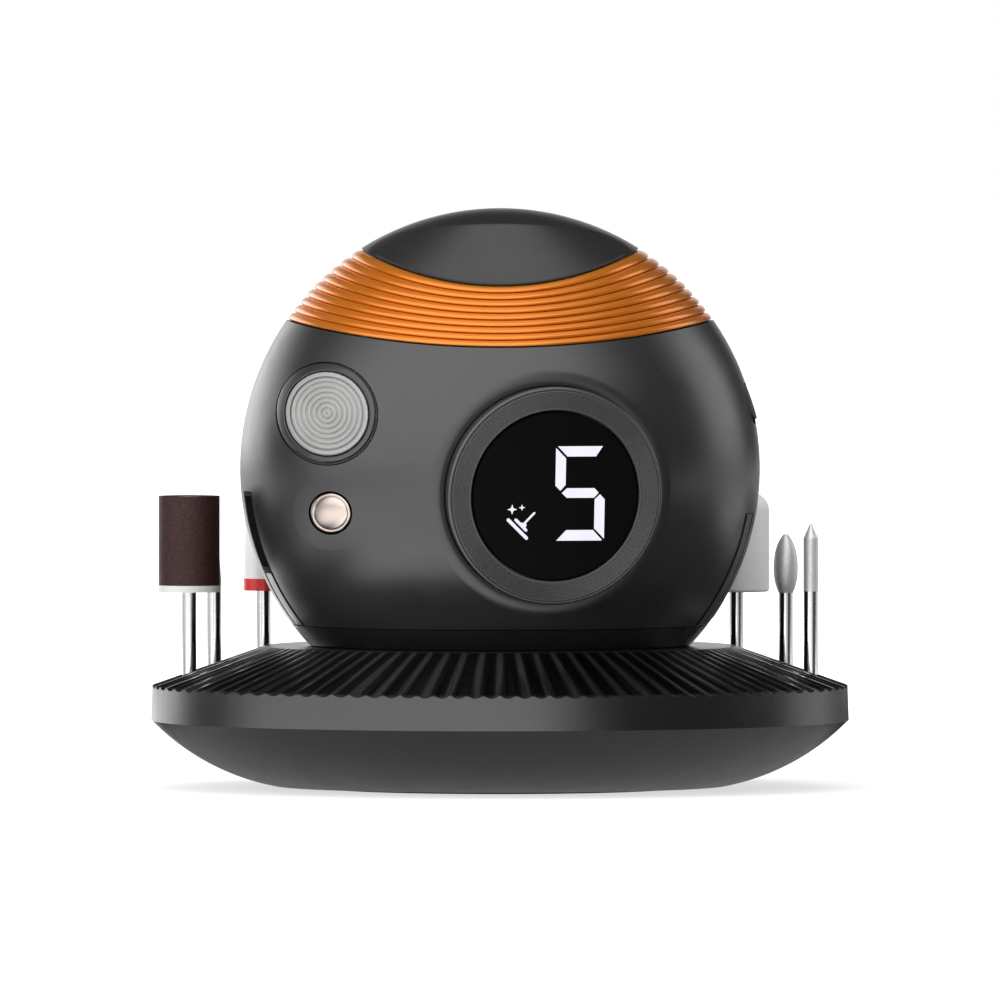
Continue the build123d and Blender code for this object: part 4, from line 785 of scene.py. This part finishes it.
# Sanding drum: a white plastic core with a lip at the bottom, and a sleeve coated with brown abrasive
# grit that is pushed over the core.
grit_depth = 0.00012
grit = effect_group("Grit", {"Grains per metre": 5000.0}, ["Height", "Fleck"])
given = place_node(grit, "NodeGroupInput")
at = own_place(grit)
cells = place_node(grit, "ShaderNodeTexVoronoi", {"Vector": at, "Scale": given.outputs[0]})
fine = noise_at(grit, at, given.outputs[0], Detail=4.0)
mound = calc(grit, "SUBTRACT", fine, cells.outputs["Distance"])
pick = place_node(grit, "ShaderNodeSeparateColor", {0: cells.outputs["Color"]})
fleck = remap(grit, pick.outputs[0], 0.82, 0.97)
place_node(grit, "NodeGroupOutput", {0: mound, 1: fleck})


def gritty(name, ground, grain, grains, relief, metallic, roughness, specular=0.5):
    # A coat of grit: a ground colour, lighter grains scattered in it, and their relief
    made = empty_material(name)
    tree = made.node_tree
    coat = place_node(tree, "ShaderNodeGroup", {"Grains per metre": grains}, node_tree=grit)
    lay_skin(tree, {
        "Base Color": mix_colours(tree, coat.outputs["Fleck"], ground, grain),
        "Metallic": metallic,
        "Roughness": roughness,
        "Specular IOR Level": specular,
        "Normal": relief_from(tree, coat.outputs["Height"], relief, grit_depth),
    })
    return made


brown_grit = gritty("brown grit", (0.033, 0.0115, 0.011), (0.062, 0.034, 0.031), grains=6500.0,
                    relief=0.35, metallic=0.0, roughness=0.5, specular=0.22)
dress(["sanding_sleeve"], brown_grit)
core_white = moulded_plastic("drum white", (0.62, 0.62, 0.60), (0.72, 0.72, 0.70), 0.35,
                             grain=2500.0, relief=0.1)
dress(["drum_core"], core_white)

# Cone, needle and flame bits: turned steel heads on their shanks. Diamond grit is bonded on them in a
# nickel plate, so they sparkle a little.
diamond_grit = gritty("diamond grit", (0.66, 0.66, 0.655), (0.85, 0.85, 0.84), grains=7000.0,
                      relief=0.3, metallic=0.45, roughness=0.28)
dress(["cone_head", "needle_head", "flame_head"], diamond_grit)

# Ceramic bit: a slightly tapered head of fired white zirconia on its shank. A moulded collar of red
# plastic is pushed on below it.
zirconia = moulded_plastic("zirconia white", (0.78, 0.78, 0.77), (0.84, 0.84, 0.83), 0.32,
                           grain=2500.0, relief=0.25)
dress(["ceramic_head"], zirconia)
collar_red = moulded_plastic("collar red", (0.60, 0.012, 0.012), (0.70, 0.020, 0.018), 0.28,
                             grain=2500.0, relief=0.05)
dress(["ceramic_collar"], collar_red)

# Felt bit: a cylinder of pressed wool with a rounded end, pale grey and slightly fuzzy. It is glued on
# its shank.
felt_wool = moulded_plastic("felt wool", (0.64, 0.655, 0.65), (0.76, 0.775, 0.77), 0.92,
                            grain=3600.0, relief=1.0)
dress(["felt_head"], felt_wool)
